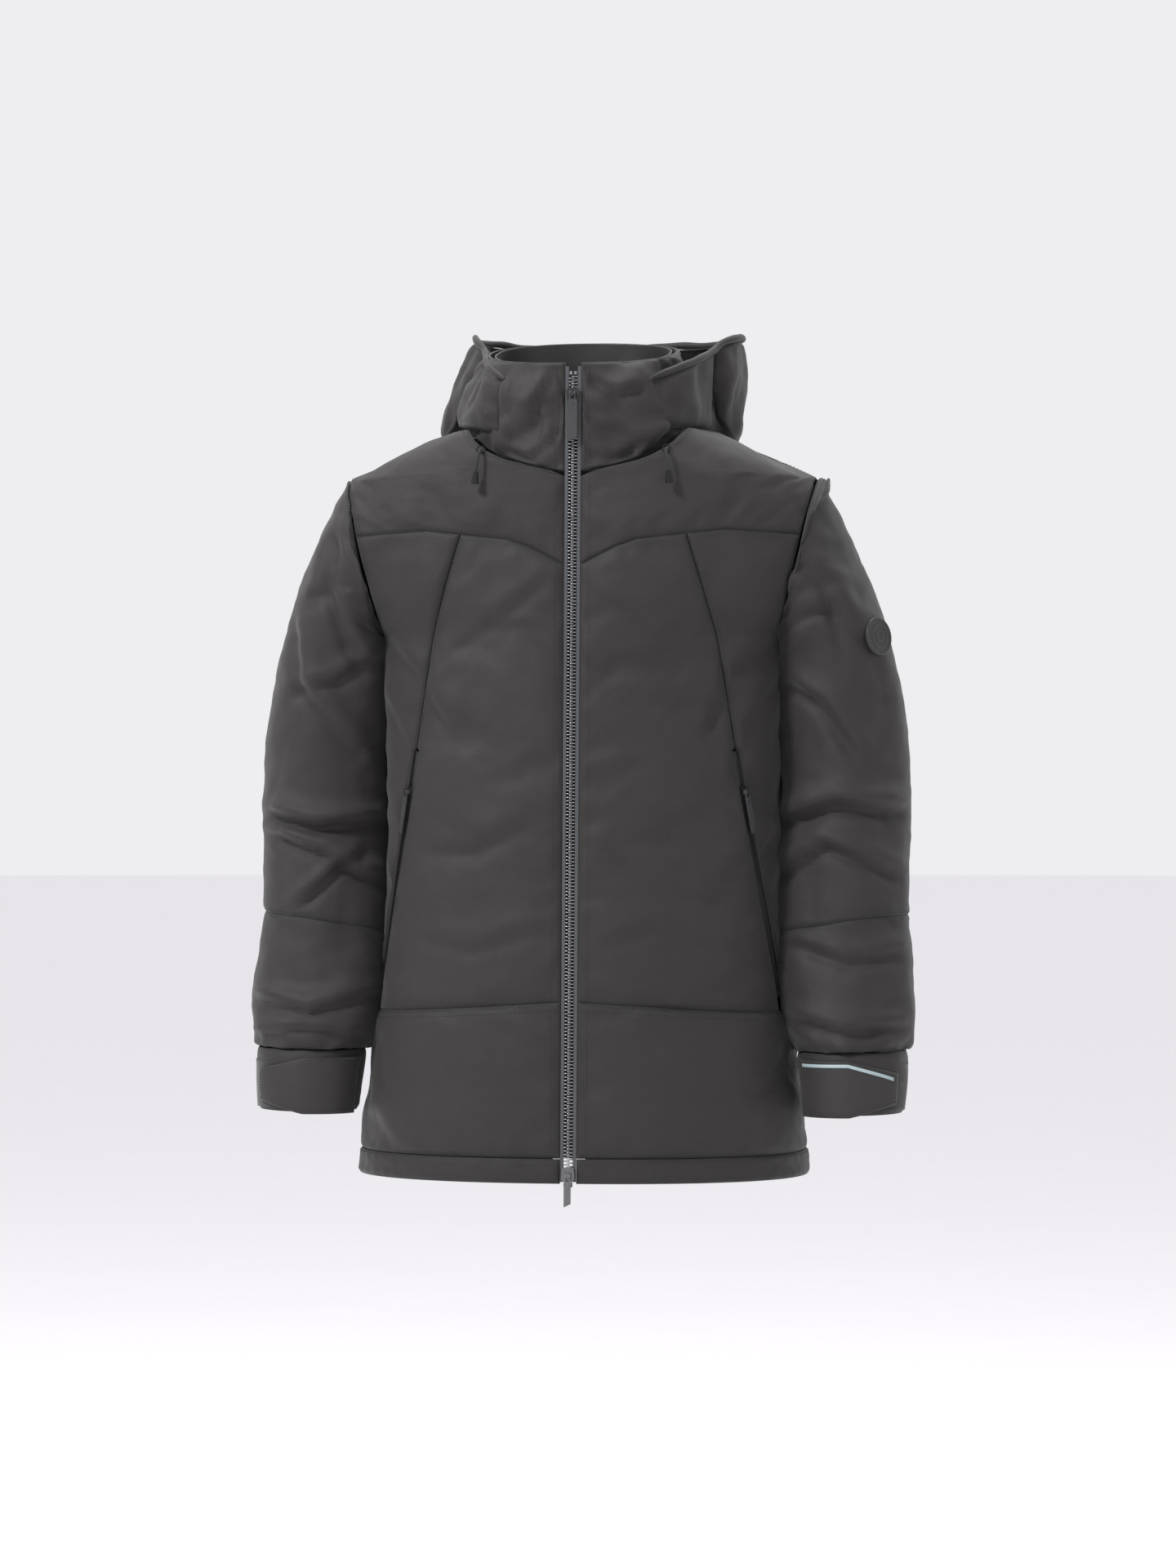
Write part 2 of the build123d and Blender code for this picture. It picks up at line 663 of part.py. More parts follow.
def drawcord():
    points = cord_route()
    runs = [(b - a).length for a, b in zip(points, points[1:])]
    radii = []
    for i in range(1, len(points) - 1):
        turn = (points[i] - points[i - 1]).get_angle(points[i + 1] - points[i])
        radii.append(0.45 * min(runs[i - 1], runs[i]) / abs(sin(turn * pi / 360) / cos(turn * pi / 360)))
    path = FilletPolyline(*points, radius=radii)
    profile = Plane(points[0], z_dir=points[1] - points[0]) * Circle(CORD_D / 2)
    return sweep(profile, path=path)


def cord_end():
    """Conical end piece that grips the last stretch of the cord."""
    points = cord_route()
    direction = (points[-1] - points[-2]).normalized()
    base = points[-1] - direction * CORD_GRIP
    cone = Solid.make_cone(2.2, 3.6, 11, Plane(base, z_dir=direction))
    hole = Solid.make_cylinder(CORD_D / 2 + 0.1, CORD_GRIP + 0.1, Plane(base, z_dir=direction))
    return cone.cut(hole)


def eyelet():
    start = surface_point(*EYELET)
    ring = Solid.make_cylinder(EYELET_R, 0.8, Plane(start + Vector(0, -EYELET_OUT, 0), z_dir=(0, 1, 0)))
    return ring.cut(Solid.make_cylinder(EYELET_HOLE_R, 10, Plane(start + Vector(0, -5, 0), z_dir=(0, 1, 0))))


def hang_loop():
    """A sewn tape arching away from the collar lining at the nape."""
    back = between(COLLAR, HANG_LOOP_Z, 2) - SHELL - LINING_GAP - LINING - 3.0
    half = LOOP_SPAN / 2
    thick = 1.4
    outer = [Vector(-half + 3, back - LOOP_DEPTH + 4, 0), Vector(0, back - LOOP_DEPTH, 0),
             Vector(half - 3, back - LOOP_DEPTH + 4, 0)]
    inner = [Vector(-half + 1.5, back, 0), Vector(-half + 4.5, back - LOOP_DEPTH + 5 + thick, 0),
             Vector(0, back - LOOP_DEPTH + thick, 0), Vector(half - 4.5, back - LOOP_DEPTH + 5 + thick, 0),
             Vector(half - 1.5, back, 0)]
    left_foot = [Vector(-half - 8, back - thick, 0), Vector(-half - 1, back - thick, 0)]
    right_foot = [Vector(half + 1, back - thick, 0), Vector(half + 8, back - thick, 0), Vector(half + 8, back, 0)]
    outline = left_foot + outer + right_foot + inner[::-1] + [Vector(-half - 8, back, 0)]
    low = HANG_LOOP_Z - LOOP_WIDTH / 2
    face = Face(Wire.make_polygon([p + Vector(0, 0, low) for p in outline], close=True))
    return Solid.extrude(face, Vector(0, 0, LOOP_WIDTH))


def badge():
    """A round rubber badge, slightly bowed, standing just off the upper sleeve."""
    ring, lower = sleeve_curve(BADGE_STATION, 0), sleeve_curve(BADGE_STATION + 0.4, 0)
    index = round((BADGE_TURN - 90) / 360 * len(ring)) % len(ring)
    spot = ring[index]
    out = (ring[(index + 1) % len(ring)] - ring[index - 1]).cross(spot - lower[index]).normalized()
    if out.X < 0:
        out = out * -1
    return Solid.make_cylinder(BADGE_R, 2.2, Plane(spot + out * 0.9, z_dir=out))


# ---- assembly -----------------------------------------------------------------------------
def write(name, shape):
    solids = solids_of(shape)
    moved = [s.moved(Location((-ORIGIN[0], -ORIGIN[1], -ORIGIN[2]))) for s in solids]
    whole = moved[0] if len(moved) == 1 else Compound(moved)
    export_step(whole, os.path.join("parts", name + ".step"))


def write_pair(name, shape):
    """The wearer's left piece and its mirror image."""
    solids = solids_of(shape)
    write(name + "_left", solids)
    write(name + "_right", [mirrored(s) for s in solids])


def in_frame(frame, shapes):
    return [frame.location * s for s in shapes]


def main():
    os.makedirs("parts", exist_ok=True)
    for name, shape in (front_panels() | sleeve_pieces()).items():
        write_pair(name, shape)
    write_pair("collar_front", collar_front())
    for name, shape in (back_panels() | linings()).items():
        write(name, shape)
    write("collar_back", collar_back())
    write("hem_band", hem_halves())

    flap_depth = SHELL + LINING_GAP + LINING + FLAP_GAP
    write("storm_flap", storm_flap(flap_depth))
    write_pair("pocket_bag", pocket_bag(flap_depth))

    front = zip_frame()
    rack = tooth_rack(ZIP_BOTTOM, ZIP_TOP, 0.4)
    other = mirrored(tooth_rack(ZIP_BOTTOM, ZIP_TOP, 0.4 + TOOTH_PITCH / 2))
    write("zip_teeth_left", in_frame(front, [rack]))
    write("zip_teeth_right", in_frame(front, [other]))
    write("zip_tape_left", in_frame(front, [tape()]))
    write("zip_tape_right", in_frame(front, [mirrored(tape())]))
    stop = Solid.make_box(2.4, 3.4, 3, Plane((0.9, CHAIN_MID - 1.7, ZIP_TOP + 0.3)))
    pin = Solid.make_box(3.8, 3.4, 4.5, Plane((0.3, CHAIN_MID - 1.7, ZIP_BOTTOM - 4.8)))
    write("zip_end_stops", in_frame(front, [stop, mirrored(stop), pin, mirrored(pin)]))

    runner = slider(6.2, 5.4, SLIDER_LENGTH, 0.5, 4.5, True)
    top_place = Location((0, 0, SLIDER_TOP_S))
    write("zip_slider_top", in_frame(front, [top_place * s for s in runner]))
    write("zip_pull_top", in_frame(front, [top_place * pull(9, 45)]))
    upturned = [s.mirror(Plane.XY) for s in runner]
    bottom_place = Location((0, 0, SLIDER_BOTTOM_S))
    write("zip_slider_bottom", in_frame(front, [bottom_place * s for s in upturned]))
    write("zip_pull_bottom", in_frame(front, [bottom_place * pull(6.4, 29)]))

    pocket = pocket_frame()
    slide = Location((0, 0, POCKET_LENGTH - POCKET_SLIDER_S))
    write_pair("pocket_zip", in_frame(pocket, [pocket_chain()]))
    write_pair("pocket_slider", in_frame(pocket, [slide * s for s in slider(4.2, 3.6, 10, 1.7, 4.6, False)]))
    write_pair("pocket_pull", in_frame(pocket, [slide * pull(6.4, 40, 1.4)]))

    write_pair("cuff_tab", cuff_strap())
    write_pair("cuff_loop", cuff_patch())

    hood = hood_pieces()
    for name in ("hood_centre", "hood_rim"):
        write(name, hood[name])
    for name in ("hood_side", "hood_wing"):
        write_pair(name, hood[name])

    write_pair("hood_cord", drawcord())
    write_pair("hood_toggle", cord_end())
    write("hood_eyelets", [eyelet(), mirrored(eyelet())])
    write("hang_loop", hang_loop())
    write("arm_badge", badge())


main()
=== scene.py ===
from math import cos, pi, radians, sin

import bpy
import numpy as np
from mathutils import Matrix, Vector, noise


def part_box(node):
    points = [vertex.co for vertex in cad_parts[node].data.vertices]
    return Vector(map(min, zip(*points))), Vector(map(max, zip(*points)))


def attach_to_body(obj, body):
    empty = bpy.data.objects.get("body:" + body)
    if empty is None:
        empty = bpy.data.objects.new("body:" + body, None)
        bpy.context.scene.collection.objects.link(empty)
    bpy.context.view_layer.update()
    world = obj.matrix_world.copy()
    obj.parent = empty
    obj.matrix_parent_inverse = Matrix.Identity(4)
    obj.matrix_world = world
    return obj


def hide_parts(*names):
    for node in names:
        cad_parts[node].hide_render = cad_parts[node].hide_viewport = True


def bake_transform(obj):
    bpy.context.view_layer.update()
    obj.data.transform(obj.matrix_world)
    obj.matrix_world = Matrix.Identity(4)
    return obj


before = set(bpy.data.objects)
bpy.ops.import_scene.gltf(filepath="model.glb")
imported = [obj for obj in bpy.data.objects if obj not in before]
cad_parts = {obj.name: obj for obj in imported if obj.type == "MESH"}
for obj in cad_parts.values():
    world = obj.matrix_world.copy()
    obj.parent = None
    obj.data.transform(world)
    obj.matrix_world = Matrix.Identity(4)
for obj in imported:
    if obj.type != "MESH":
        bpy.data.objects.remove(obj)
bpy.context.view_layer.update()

# Heights and widths are written in millimetres with z = 0 at the hem and -Y to the front, and
# moved into the shared frame, in metres, as each mesh is made. +X is the wearer's left.
ORIGIN = np.array((0.0, 50.0, 735.0))
POWER = 2.3
TRUNK = np.array([
    (0, 213, 128), (60, 208, 127), (125, 199, 123), (190, 190, 122), (260, 185, 125), (340, 183, 132),
    (420, 183.5, 137), (470, 184.5, 139), (505, 188.5, 138), (560, 200, 134), (610, 212, 124),
    (652, 222, 107), (680, 159, 92), (706, 100, 78)], float)
COLLAR = np.array([(640, 108, 90), (690, 106, 80), (725, 99, 76), (760, 93, 73), (800, 89, 72)], float)
# outer x, z; inner x, z; centre y; half depth
SLEEVE = np.array([
    (222.8, 652, 189.5, 505, 0, 66), (243, 620, 189, 498, 2, 68), (262, 578, 188.8, 489, 4, 69),
    (278, 532, 188.8, 478, 6, 68.5), (291, 478, 189, 462, 8, 67), (301, 420, 189.5, 415, 9, 66),
    (304, 365, 190.5, 365, 8, 65), (303, 325, 191, 325, 5, 64), (301, 290, 192, 285, 0, 62),
    (300, 238, 193.5, 216, -9, 60), (303, 198, 194.5, 190, -17, 59), (306, 160, 196.5, 155, -25, 57),
    (306, 117, 203, 115, -33, 52), (305, 88, 207, 86, -39, 49), (302, 56, 209.5, 55, -44, 46)], float)
# height, centre y, half width, half depth, foremost y
HOOD = np.array([
    (632, 130, 84, 26, 114), (645, 122, 104, 36, 112), (660, 114, 122, 50, 108), (680, 96, 134, 70, 90),
    (692, 84, 140, 82, 62), (704, 78, 144, 90, 30), (745, 68, 149, 98, 6), (775, 64, 148, 97, 6),
    (796, 60, 145, 94, 6)], float)
HOOD_POWER = 2.2
COLLAR_SEAM = np.array([(653.5, 12), (657, 35), (662, 54), (668, 70), (676, 84), (684, 93), (698, 103)], float)
PRINCESS = np.array([(150, 190.5), (165, 188), (397, 149), (410, 147), (450, 141), (500, 133), (550, 119),
                     (596, 105), (620, 100)], float)
YOKE = np.array([(7, 567), (11, 569), (40, 584), (60, 591), (75, 592.5), (105, 596), (139, 600), (214, 596)], float)
SHOULDER_X = 219.0  # the yokes stop just short of the sleeve's top
ZIP_SLOT = 7.6
POCKET_TOP_Z = 397
POCKET_EDGE = 2.6
CELL = 4.2  # spacing of a panel's finished grid
SIM_FRAMES = 16
rng = np.random.default_rng(7)


# ---- surfaces -------------------------------------------------------------------------------
def curve(rows, column, z, blur=7.0):
    """A table's column at heights z, with its corners rounded off."""
    z = np.asarray(z, float)
    spread = np.where(z > 612, 0.5, blur) if rows is TRUNK else blur
    steps = np.linspace(-1, 1, 7)
    return sum(np.interp(z + spread * s, rows[:, 0], rows[:, column]) for s in steps) / len(steps)


def front_depth(z):
    return 142 - 46 * z / 754


def section(table, z, back):
    edge_x = curve(table, 1, z)
    depth = curve(table, 2, z) if back else front_depth(z)
    share = np.clip(1 - ((z - 578.5) / 73.5) ** 2, 0, 1) if table is TRUNK else np.zeros_like(z)
    ratio = 66 * np.sqrt(share) / depth
    return edge_x / (1 - ratio ** POWER) ** (1 / POWER), depth, np.arcsin(ratio ** (POWER / 2))


def body_point(table, z, angle, back):
    """Angle 0 is the side seam, a quarter turn is the centre."""
    width, depth, _ = section(table, z, back)
    x = width * np.clip(np.cos(angle), 0, 1) ** (2 / POWER)
    y = depth * np.clip(np.sin(angle), 0, 1) ** (2 / POWER)
    return np.stack([x, y if back else -y, z + 0 * x], -1)


def side(table, back):
    return lambda z: section(table, z, back)[2]


def at_x(table, back, x_of_z):
    return lambda z: np.arccos(np.clip(x_of_z(z) / section(table, z, back)[0], 0, 1) ** (POWER / 2))


def spread(length):
    """Fractions along a length, evenly CELL apart but closer together next to both ends."""
    near = np.array([0, 1.1, 2.3, 3.8])
    middle = np.linspace(6.0, length - 6.0, odd((length - 12) / CELL))
    return np.concatenate([near, middle, length - near[::-1]]) / length


def body_grid(table, back, first, last, low, high, dense=1.0):
    """Grid over a panel. first and last give angles at a height, low and high give heights at an x and y."""
    probe = body_point(table, np.full(9, (low(60, 0) + high(60, 0)) / 2), np.linspace(
        float(first(np.array(300.0 if table is TRUNK else 720.0))),
        float(last(np.array(300.0 if table is TRUNK else 720.0))), 9), back)
    width = np.linalg.norm(np.diff(probe, axis=0), axis=1).sum()
    tall = float(abs(high(60, 0) - low(60, 0))) * dense
    v, u = np.meshgrid(spread(max(tall, 22)), spread(max(width, 22)), indexing="ij")
    z = low(60, 0) + (high(60, 0) - low(60, 0)) * v
    for _ in range(8):
        start, end = first(z), last(z)
        points = body_point(table, z, start + (end - start) * u, back)
        z = low(points[..., 0], points[..., 1]) + v * (high(points[..., 0], points[..., 1])
                                                       - low(points[..., 0], points[..., 1]))
    return points


def odd(count):
    return max(int(count) // 2 * 2 + 1, 5)


def whole(half):
    """A back panel from its half, from the centre seam to the left side seam."""
    return np.concatenate([half, (half * (-1, 1, 1))[:, -2::-1]], 1)


def mirror(grid):
    return grid[:, ::-1] * (-1, 1, 1)


def sleeve_grid(first, last, turns=(0, 2 * pi), grow=0.0):
    length = abs(np.interp(last, range(15), SLEEVE[:, 1]) - np.interp(first, range(15), SLEEVE[:, 1]))
    columns = int(380 * (turns[1] - turns[0]) / (2 * pi) / CELL) // 2 * 2
    station = first + (last - first) * spread(length)
    cells = np.arange(15.0)
    table = np.stack([sum(np.interp(station + 0.5 * s, cells, SLEEVE[:, i]) for s in (-1, -.5, 0, .5, 1)) / 5
                      for i in range(6)], -1)
    if first == 0:
        table[0] = SLEEVE[0]
    outer = np.stack([table[:, 0], table[:, 4], table[:, 1]], -1)
    inner = np.stack([table[:, 2], table[:, 4], table[:, 3]], -1)
    across = outer - inner
    half = np.linalg.norm(across, axis=1, keepdims=True) / 2
    across = across / (2 * half)
    closed = abs(turns[1] - turns[0] - 2 * pi) < 1e-6
    turn = np.linspace(*turns, columns, endpoint=not closed)
    points = ((outer + inner)[:, None] / 2 + (across * (half + grow))[:, None] * np.cos(turn)[None, :, None]
              + np.array((0, 1, 0)) * (table[:, 5] + grow)[:, None, None] * np.sin(turn)[None, :, None])
    return points, np.broadcast_to((outer + inner)[:, None] / 2, points.shape)


def lean(points):
    """On the wearer's right the hood is folded further in towards the top."""
    rise = np.clip((points[..., 2] - 705) / 85, 0, 1)
    out = points.copy()
    out[..., 0] = np.where(out[..., 0] < 0, out[..., 0] * (1 - 0.24 * rise * rise * (3 - 2 * rise)), out[..., 0])
    out[..., 2] -= 13 * np.clip((48 - points[..., 1]) / 46, 0, 1) * np.clip((points[..., 2] - 742) / 45, 0, 1)
    return out


def hood_grid(first, last, low, high, inset=0.0, columns=None):
    """first and last are x at the side split, or None for the free front edge."""
    columns = columns or 41
    z = low + (high - low) * (spread(high - low) if high - low > 22 else np.linspace(0, 1, 5))
    values = [curve(HOOD, i, z, 9) for i in range(1, 5)]
    centre, half_w, half_d, fore = values
    share = (fore - centre) / half_d
    front = np.sign(share) * np.arcsin(np.clip(abs(share), 0, 1) ** (HOOD_POWER / 2))

    def edge(x):
        if x is None:
            return front
        turn = np.arccos(np.clip(abs(x) / half_w, 0, 1) ** (HOOD_POWER / 2))
        return turn if x >= 0 else pi - turn

    a0, a1 = edge(first), edge(last)
    u = np.linspace(0, 1, columns)
    angle = a0[:, None] + (a1 - a0)[:, None] * u
    c, s = np.cos(angle), np.sin(angle)
    x = (half_w - inset)[:, None] * np.sign(c) * abs(c) ** (2 / HOOD_POWER)
    y = centre[:, None] + (half_d - inset)[:, None] * np.sign(s) * abs(s) ** (2 / HOOD_POWER)
    points = np.stack([x, y, z[:, None] + 0 * x], -1)
    middle = np.stack([0 * x, centre[:, None] + 0 * x, z[:, None] + 0 * x], -1)
    return points, middle


# ---- grid tools -----------------------------------------------------------------------------
def normals_of(grid, centre, closed):
    du = (np.roll(grid, -1, 1) - np.roll(grid, 1, 1)) if closed else np.gradient(grid, axis=1)
    n = np.cross(du, np.gradient(grid, axis=0))
    n /= np.maximum(np.linalg.norm(n, axis=-1, keepdims=True), 1e-9)
    flip = np.sum(n * (grid - centre)) < 0
    return (-n if flip else n), flip


def border_distance(grid, closed):
    """Millimetres to the nearest edge, and along the two directions."""
    def run(axis):
        step = np.linalg.norm(np.diff(grid, axis=axis), axis=-1)
        total = np.cumsum(step, axis)
        zero = np.zeros_like(np.take(grid[..., 0], [0], axis))
        return np.concatenate([zero, total], axis)
    u, v = run(1), run(0)
    dv = np.minimum(v, v[-1:] - v)
    du = np.full_like(dv, 1e3) if closed else np.minimum(u, u[:, -1:] - u)
    return np.minimum(du, dv), u, v


def soften(field, closed, times=1):
    for _ in range(times):
        inner = field.copy()
        inner[1:-1] = (field[:-2] + 2 * field[1:-1] + field[2:]) / 4
        field = inner.copy()
        if closed:
            field = (np.roll(inner, 1, 1) + 2 * inner + np.roll(inner, -1, 1)) / 4
        else:
            field[:, 1:-1] = (inner[:, :-2] + 2 * inner[:, 1:-1] + inner[:, 2:]) / 4
    return field


def refine(coarse, shape, closed):
    rows = np.zeros((shape[0],) + coarse.shape[1:])
    rows[::2] = coarse
    rows[1::2] = (coarse[:-1] + coarse[1:]) / 2
    fine = np.zeros(shape)
    fine[:, ::2] = rows
    fine[:, 1::2] = (rows + np.roll(rows, -1, 1)) / 2 if closed else (rows[:, :-1] + rows[:, 1:]) / 2
    return soften(fine, closed, 2)


def quads(rows, columns, closed, flip, start=0):
    i, j = np.meshgrid(np.arange(rows - 1), np.arange(columns if closed else columns - 1), indexing="ij")
    k = (j + 1) % columns
    a, b, c, d = i * columns + j, i * columns + k, (i + 1) * columns + k, (i + 1) * columns + j
    order = (a, d, c, b) if flip else (a, b, c, d)
    return np.stack(order, -1).reshape(-1, 4) + start


def new_mesh(name, points, faces):
    mesh = bpy.data.meshes.new(name)
    mesh.from_pydata([tuple(p) for p in points], [], [tuple(int(i) for i in f) for f in faces])
    mesh.update()
    return mesh


def blow(grid, flip, closed, grow, pressure):
    """Cloth held at its edges, a little too large for its place and pushed outwards; returns the movement."""
    coarse = grid[::2, ::2]
    rows, columns = coarse.shape[:2]
    start = (coarse + rng.normal(0, 0.25, coarse.shape)) / 1000
    piece = bpy.data.objects.new("cloth", new_mesh("cloth", start.reshape(-1, 3),
                                                  quads(rows, columns, closed, flip)))
    bpy.context.scene.collection.objects.link(piece)
    held = np.zeros((rows, columns), bool)
    held[[0, -1]] = True
    if not closed:
        held[:, [0, -1]] = True
    piece.vertex_groups.new(name="held").add([int(i) for i in np.flatnonzero(held)], 1.0, "REPLACE")
    cloth = piece.modifiers.new("Cloth", "CLOTH")
    s = cloth.settings
    s.quality = 5
    s.mass = 0.12
    s.tension_stiffness = s.compression_stiffness = 14
    s.shear_stiffness = 5
    s.bending_stiffness = 0.35
    s.use_pressure = True
    s.uniform_pressure_force = pressure
    s.shrink_min = -grow
    s.vertex_group_mass = "held"
    s.effector_weights.gravity = 0
    cloth.collision_settings.use_collision = False
    cloth.point_cache.frame_end = SIM_FRAMES + 2
    for f in range(1, SIM_FRAMES + 1):
        bpy.context.scene.frame_set(f)
    shown = piece.evaluated_get(bpy.context.evaluated_depsgraph_get())
    out = np.empty(rows * columns * 3)
    shown.data.vertices.foreach_get("co", out)
    bpy.data.objects.remove(piece)
    bpy.context.scene.frame_set(1)
    moved = out.reshape(rows, columns, 3) * 1000 - coarse
    return refine(np.nan_to_num(moved), grid.shape, closed)


def ripple(grid, scale, seed):
    flat = grid.reshape(-1, 3) / scale
    return np.array([noise.noise(Vector(p) + Vector((seed, 0, 0))) for p in flat]).reshape(grid.shape[:2])


def fold_height(grid, line, width, depth):
    """A soft ridge above a sharp valley, along a line in the front view, fading at its ends."""
    p = grid[..., [0, 2]]
    line = np.array(line, float)
    best = np.full(p.shape[:2], 1e9)
    signed = np.zeros_like(best)
    along = np.zeros_like(best)
    total = np.linalg.norm(np.diff(line, axis=0), axis=1)
    done = 0.0
    for a, b, run in zip(line, line[1:], total):
        d = (b - a) / run
        t = np.clip((p - a) @ d, 0, run)
        off = p - (a + t[..., None] * d)
        dist = np.linalg.norm(off, axis=-1)
        across = off @ np.array((-d[1], d[0])) * (1 if d[0] > 0 else -1)
        near = dist < best
        best = np.where(near, dist, best)
        signed = np.where(near, np.where(across >= 0, dist, -dist), signed)
        along = np.where(near, (done + t) / total.sum(), along)
        done += run
    fade = np.clip(np.minimum(along, 1 - along) * 5 + 0.15, 0, 1)
    ridge = np.exp(-((signed - width) / width) ** 2)
    valley = np.exp(-(signed / (0.55 * width)) ** 2)
    return depth * fade * (ridge * 0.9 - valley * 1.1)


PANELS = {}
# Fabric between the fixed collar and the hood, with two points given for each span. Pieces on these bodies are baked in
# place instead of being parented to a body; the span points are not used in this script.
SPANS = {"hood_cloth": ((0, -0.115, -0.06), (0, -0.035, 0.05)), "hood_floor": ((0, 0, 0), (0, 0.17, 0))}


def attach(piece, body):
    if body in SPANS:
        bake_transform(piece)
    else:
        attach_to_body(piece, body)


def padded_panel(name, node, grid, centre, body="shell", closed=False, thick=3.0, grow=0.05,
                 pressure=3.0, cap=7.0, folds=(), roll=1.7, crumple=1.0, look="shell",
                 soft=True, base=-0.4, cap_lift=0.0, move=None, low_clip=-5.0):
    """A sewn, padded panel: its outside is blown and creased between its seams, its edges roll in."""
    normal, flip = normals_of(grid, centre, closed)
    edge, u, v = border_distance(grid, closed)
    inner_weight = 1 - np.exp(-(edge / 9.0) ** 2)
    given = move is not None
    if not given:
        move = np.zeros_like(grid)
        if soft:
            move = blow(grid, flip, closed, grow, pressure)
    if soft:
        size = np.linalg.norm(move, axis=-1, keepdims=True)
        move = move * np.minimum(1, cap / np.maximum(size, 1e-6))
        outward = np.sum(move * normal, -1)
        move += normal * (np.clip(outward, -1.5, cap) - outward)[..., None]
    seed = 3.1 * len(PANELS)
    height = base + crumple * inner_weight * (
        1.5 * ripple(grid, (46, 46, 30), seed) + 0.8 * ripple(grid, (17, 17, 11), seed + 9))
    pucker = ripple(grid, (9, 9, 7), seed + 5)
    height += crumple * 1.1 * pucker * np.exp(-(edge / 11.0) ** 2) * np.clip(edge / 3.0, 0, 1)
    facing = np.clip(-normal[..., 1] * 2.2, 0, 1)
    for line, width, depth in folds:
        height += fold_height(grid, line, width, depth) * facing * inner_weight
    height -= roll * np.exp(-(edge / 1.9) ** 1.5)
    if cap_lift:
        height += cap_lift * np.exp(-(v / 26.0) ** 1.5)
    if not given:
        move = move * (1 - np.exp(-(edge / 5.0) ** 2))[..., None]
    # the sleeves' inner sides and the body's sides rest against each other
    touching = np.clip(abs(normal[..., 0]) * 2.2 - 1.1, 0, 1) * np.clip((500 - grid[..., 2]) / 50, 0, 1)
    touching = touching * np.clip((grid[..., 2] - 120) / 60, 0, 1)
    towards_body = normal[..., 0] * grid[..., 0] < 0
    reach = np.where(towards_body & (abs(grid[..., 0]) > 185), 4.5, np.where(abs(grid[..., 0]) < 192, 3.0, 0))
    height += touching * reach
    outside = grid + move + normal * np.clip(height, low_clip, 9)[..., None]
    inside = outside - normal * thick
    piece = shell_piece(name, outside, inside, closed, flip, u, v, edge, look)
    attach(piece, body)
    if node:
        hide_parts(node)
    PANELS[name] = dict(outside=outside, normal=normal, u=u, v=v, closed=closed, body=body)
    return piece


def shell_piece(name, outside, inside, closed, flip, u, v, edge, look):
    rows, columns = outside.shape[:2]
    count = rows * columns
    faces = [quads(rows, columns, closed, flip), quads(rows, columns, closed, not flip, count)]
    index = np.arange(count).reshape(rows, columns)
    rims = [index[0], index[-1][::-1]]
    if closed:
        rims = [np.append(r, r[0]) for r in rims]
    else:
        rims += [index[::-1, 0], index[:, -1]]
    for r in rims:
        a, b = r[:-1], r[1:]
        side_faces = np.stack((b, a, a + count, b + count), -1)
        faces.append(side_faces[:, ::-1] if flip else side_faces)
    faces = np.concatenate(faces)
    points = (np.concatenate([outside.reshape(-1, 3), inside.reshape(-1, 3)]) - ORIGIN) / 1000
    mesh = new_mesh(name, points, faces)
    layer = mesh.uv_layers.new(name="UVMap")
    uv = np.stack([u.ravel(), v.ravel()], -1) / 1000
    uv = np.concatenate([uv, uv])
    layer.data.foreach_set("uv", uv[faces.ravel()].ravel())
    # painted shade along the seams: a weight that falls off over about 7 mm from each panel edge, which the material
    # uses to darken the colour
    seam_shade_layer = mesh.attributes.new("seam_near", "FLOAT", "POINT")
    near = np.exp(-(edge / 7.0)).ravel()
    seam_shade_layer.data.foreach_set("value", np.concatenate([near, near]).astype(np.float32))
    mesh.materials.append(LOOKS[look])
    mesh.materials.append(LOOKS["lining"])
    which = np.zeros(len(faces), int)
    n = len(quads(rows, columns, closed, False))
    which[n:2 * n] = 1
    mesh.polygons.foreach_set("material_index", which)
    mesh.polygons.foreach_set("use_smooth", np.ones(len(faces), bool))
    piece = bpy.data.objects.new(name, mesh)
    bpy.context.scene.collection.objects.link(piece)
    return piece


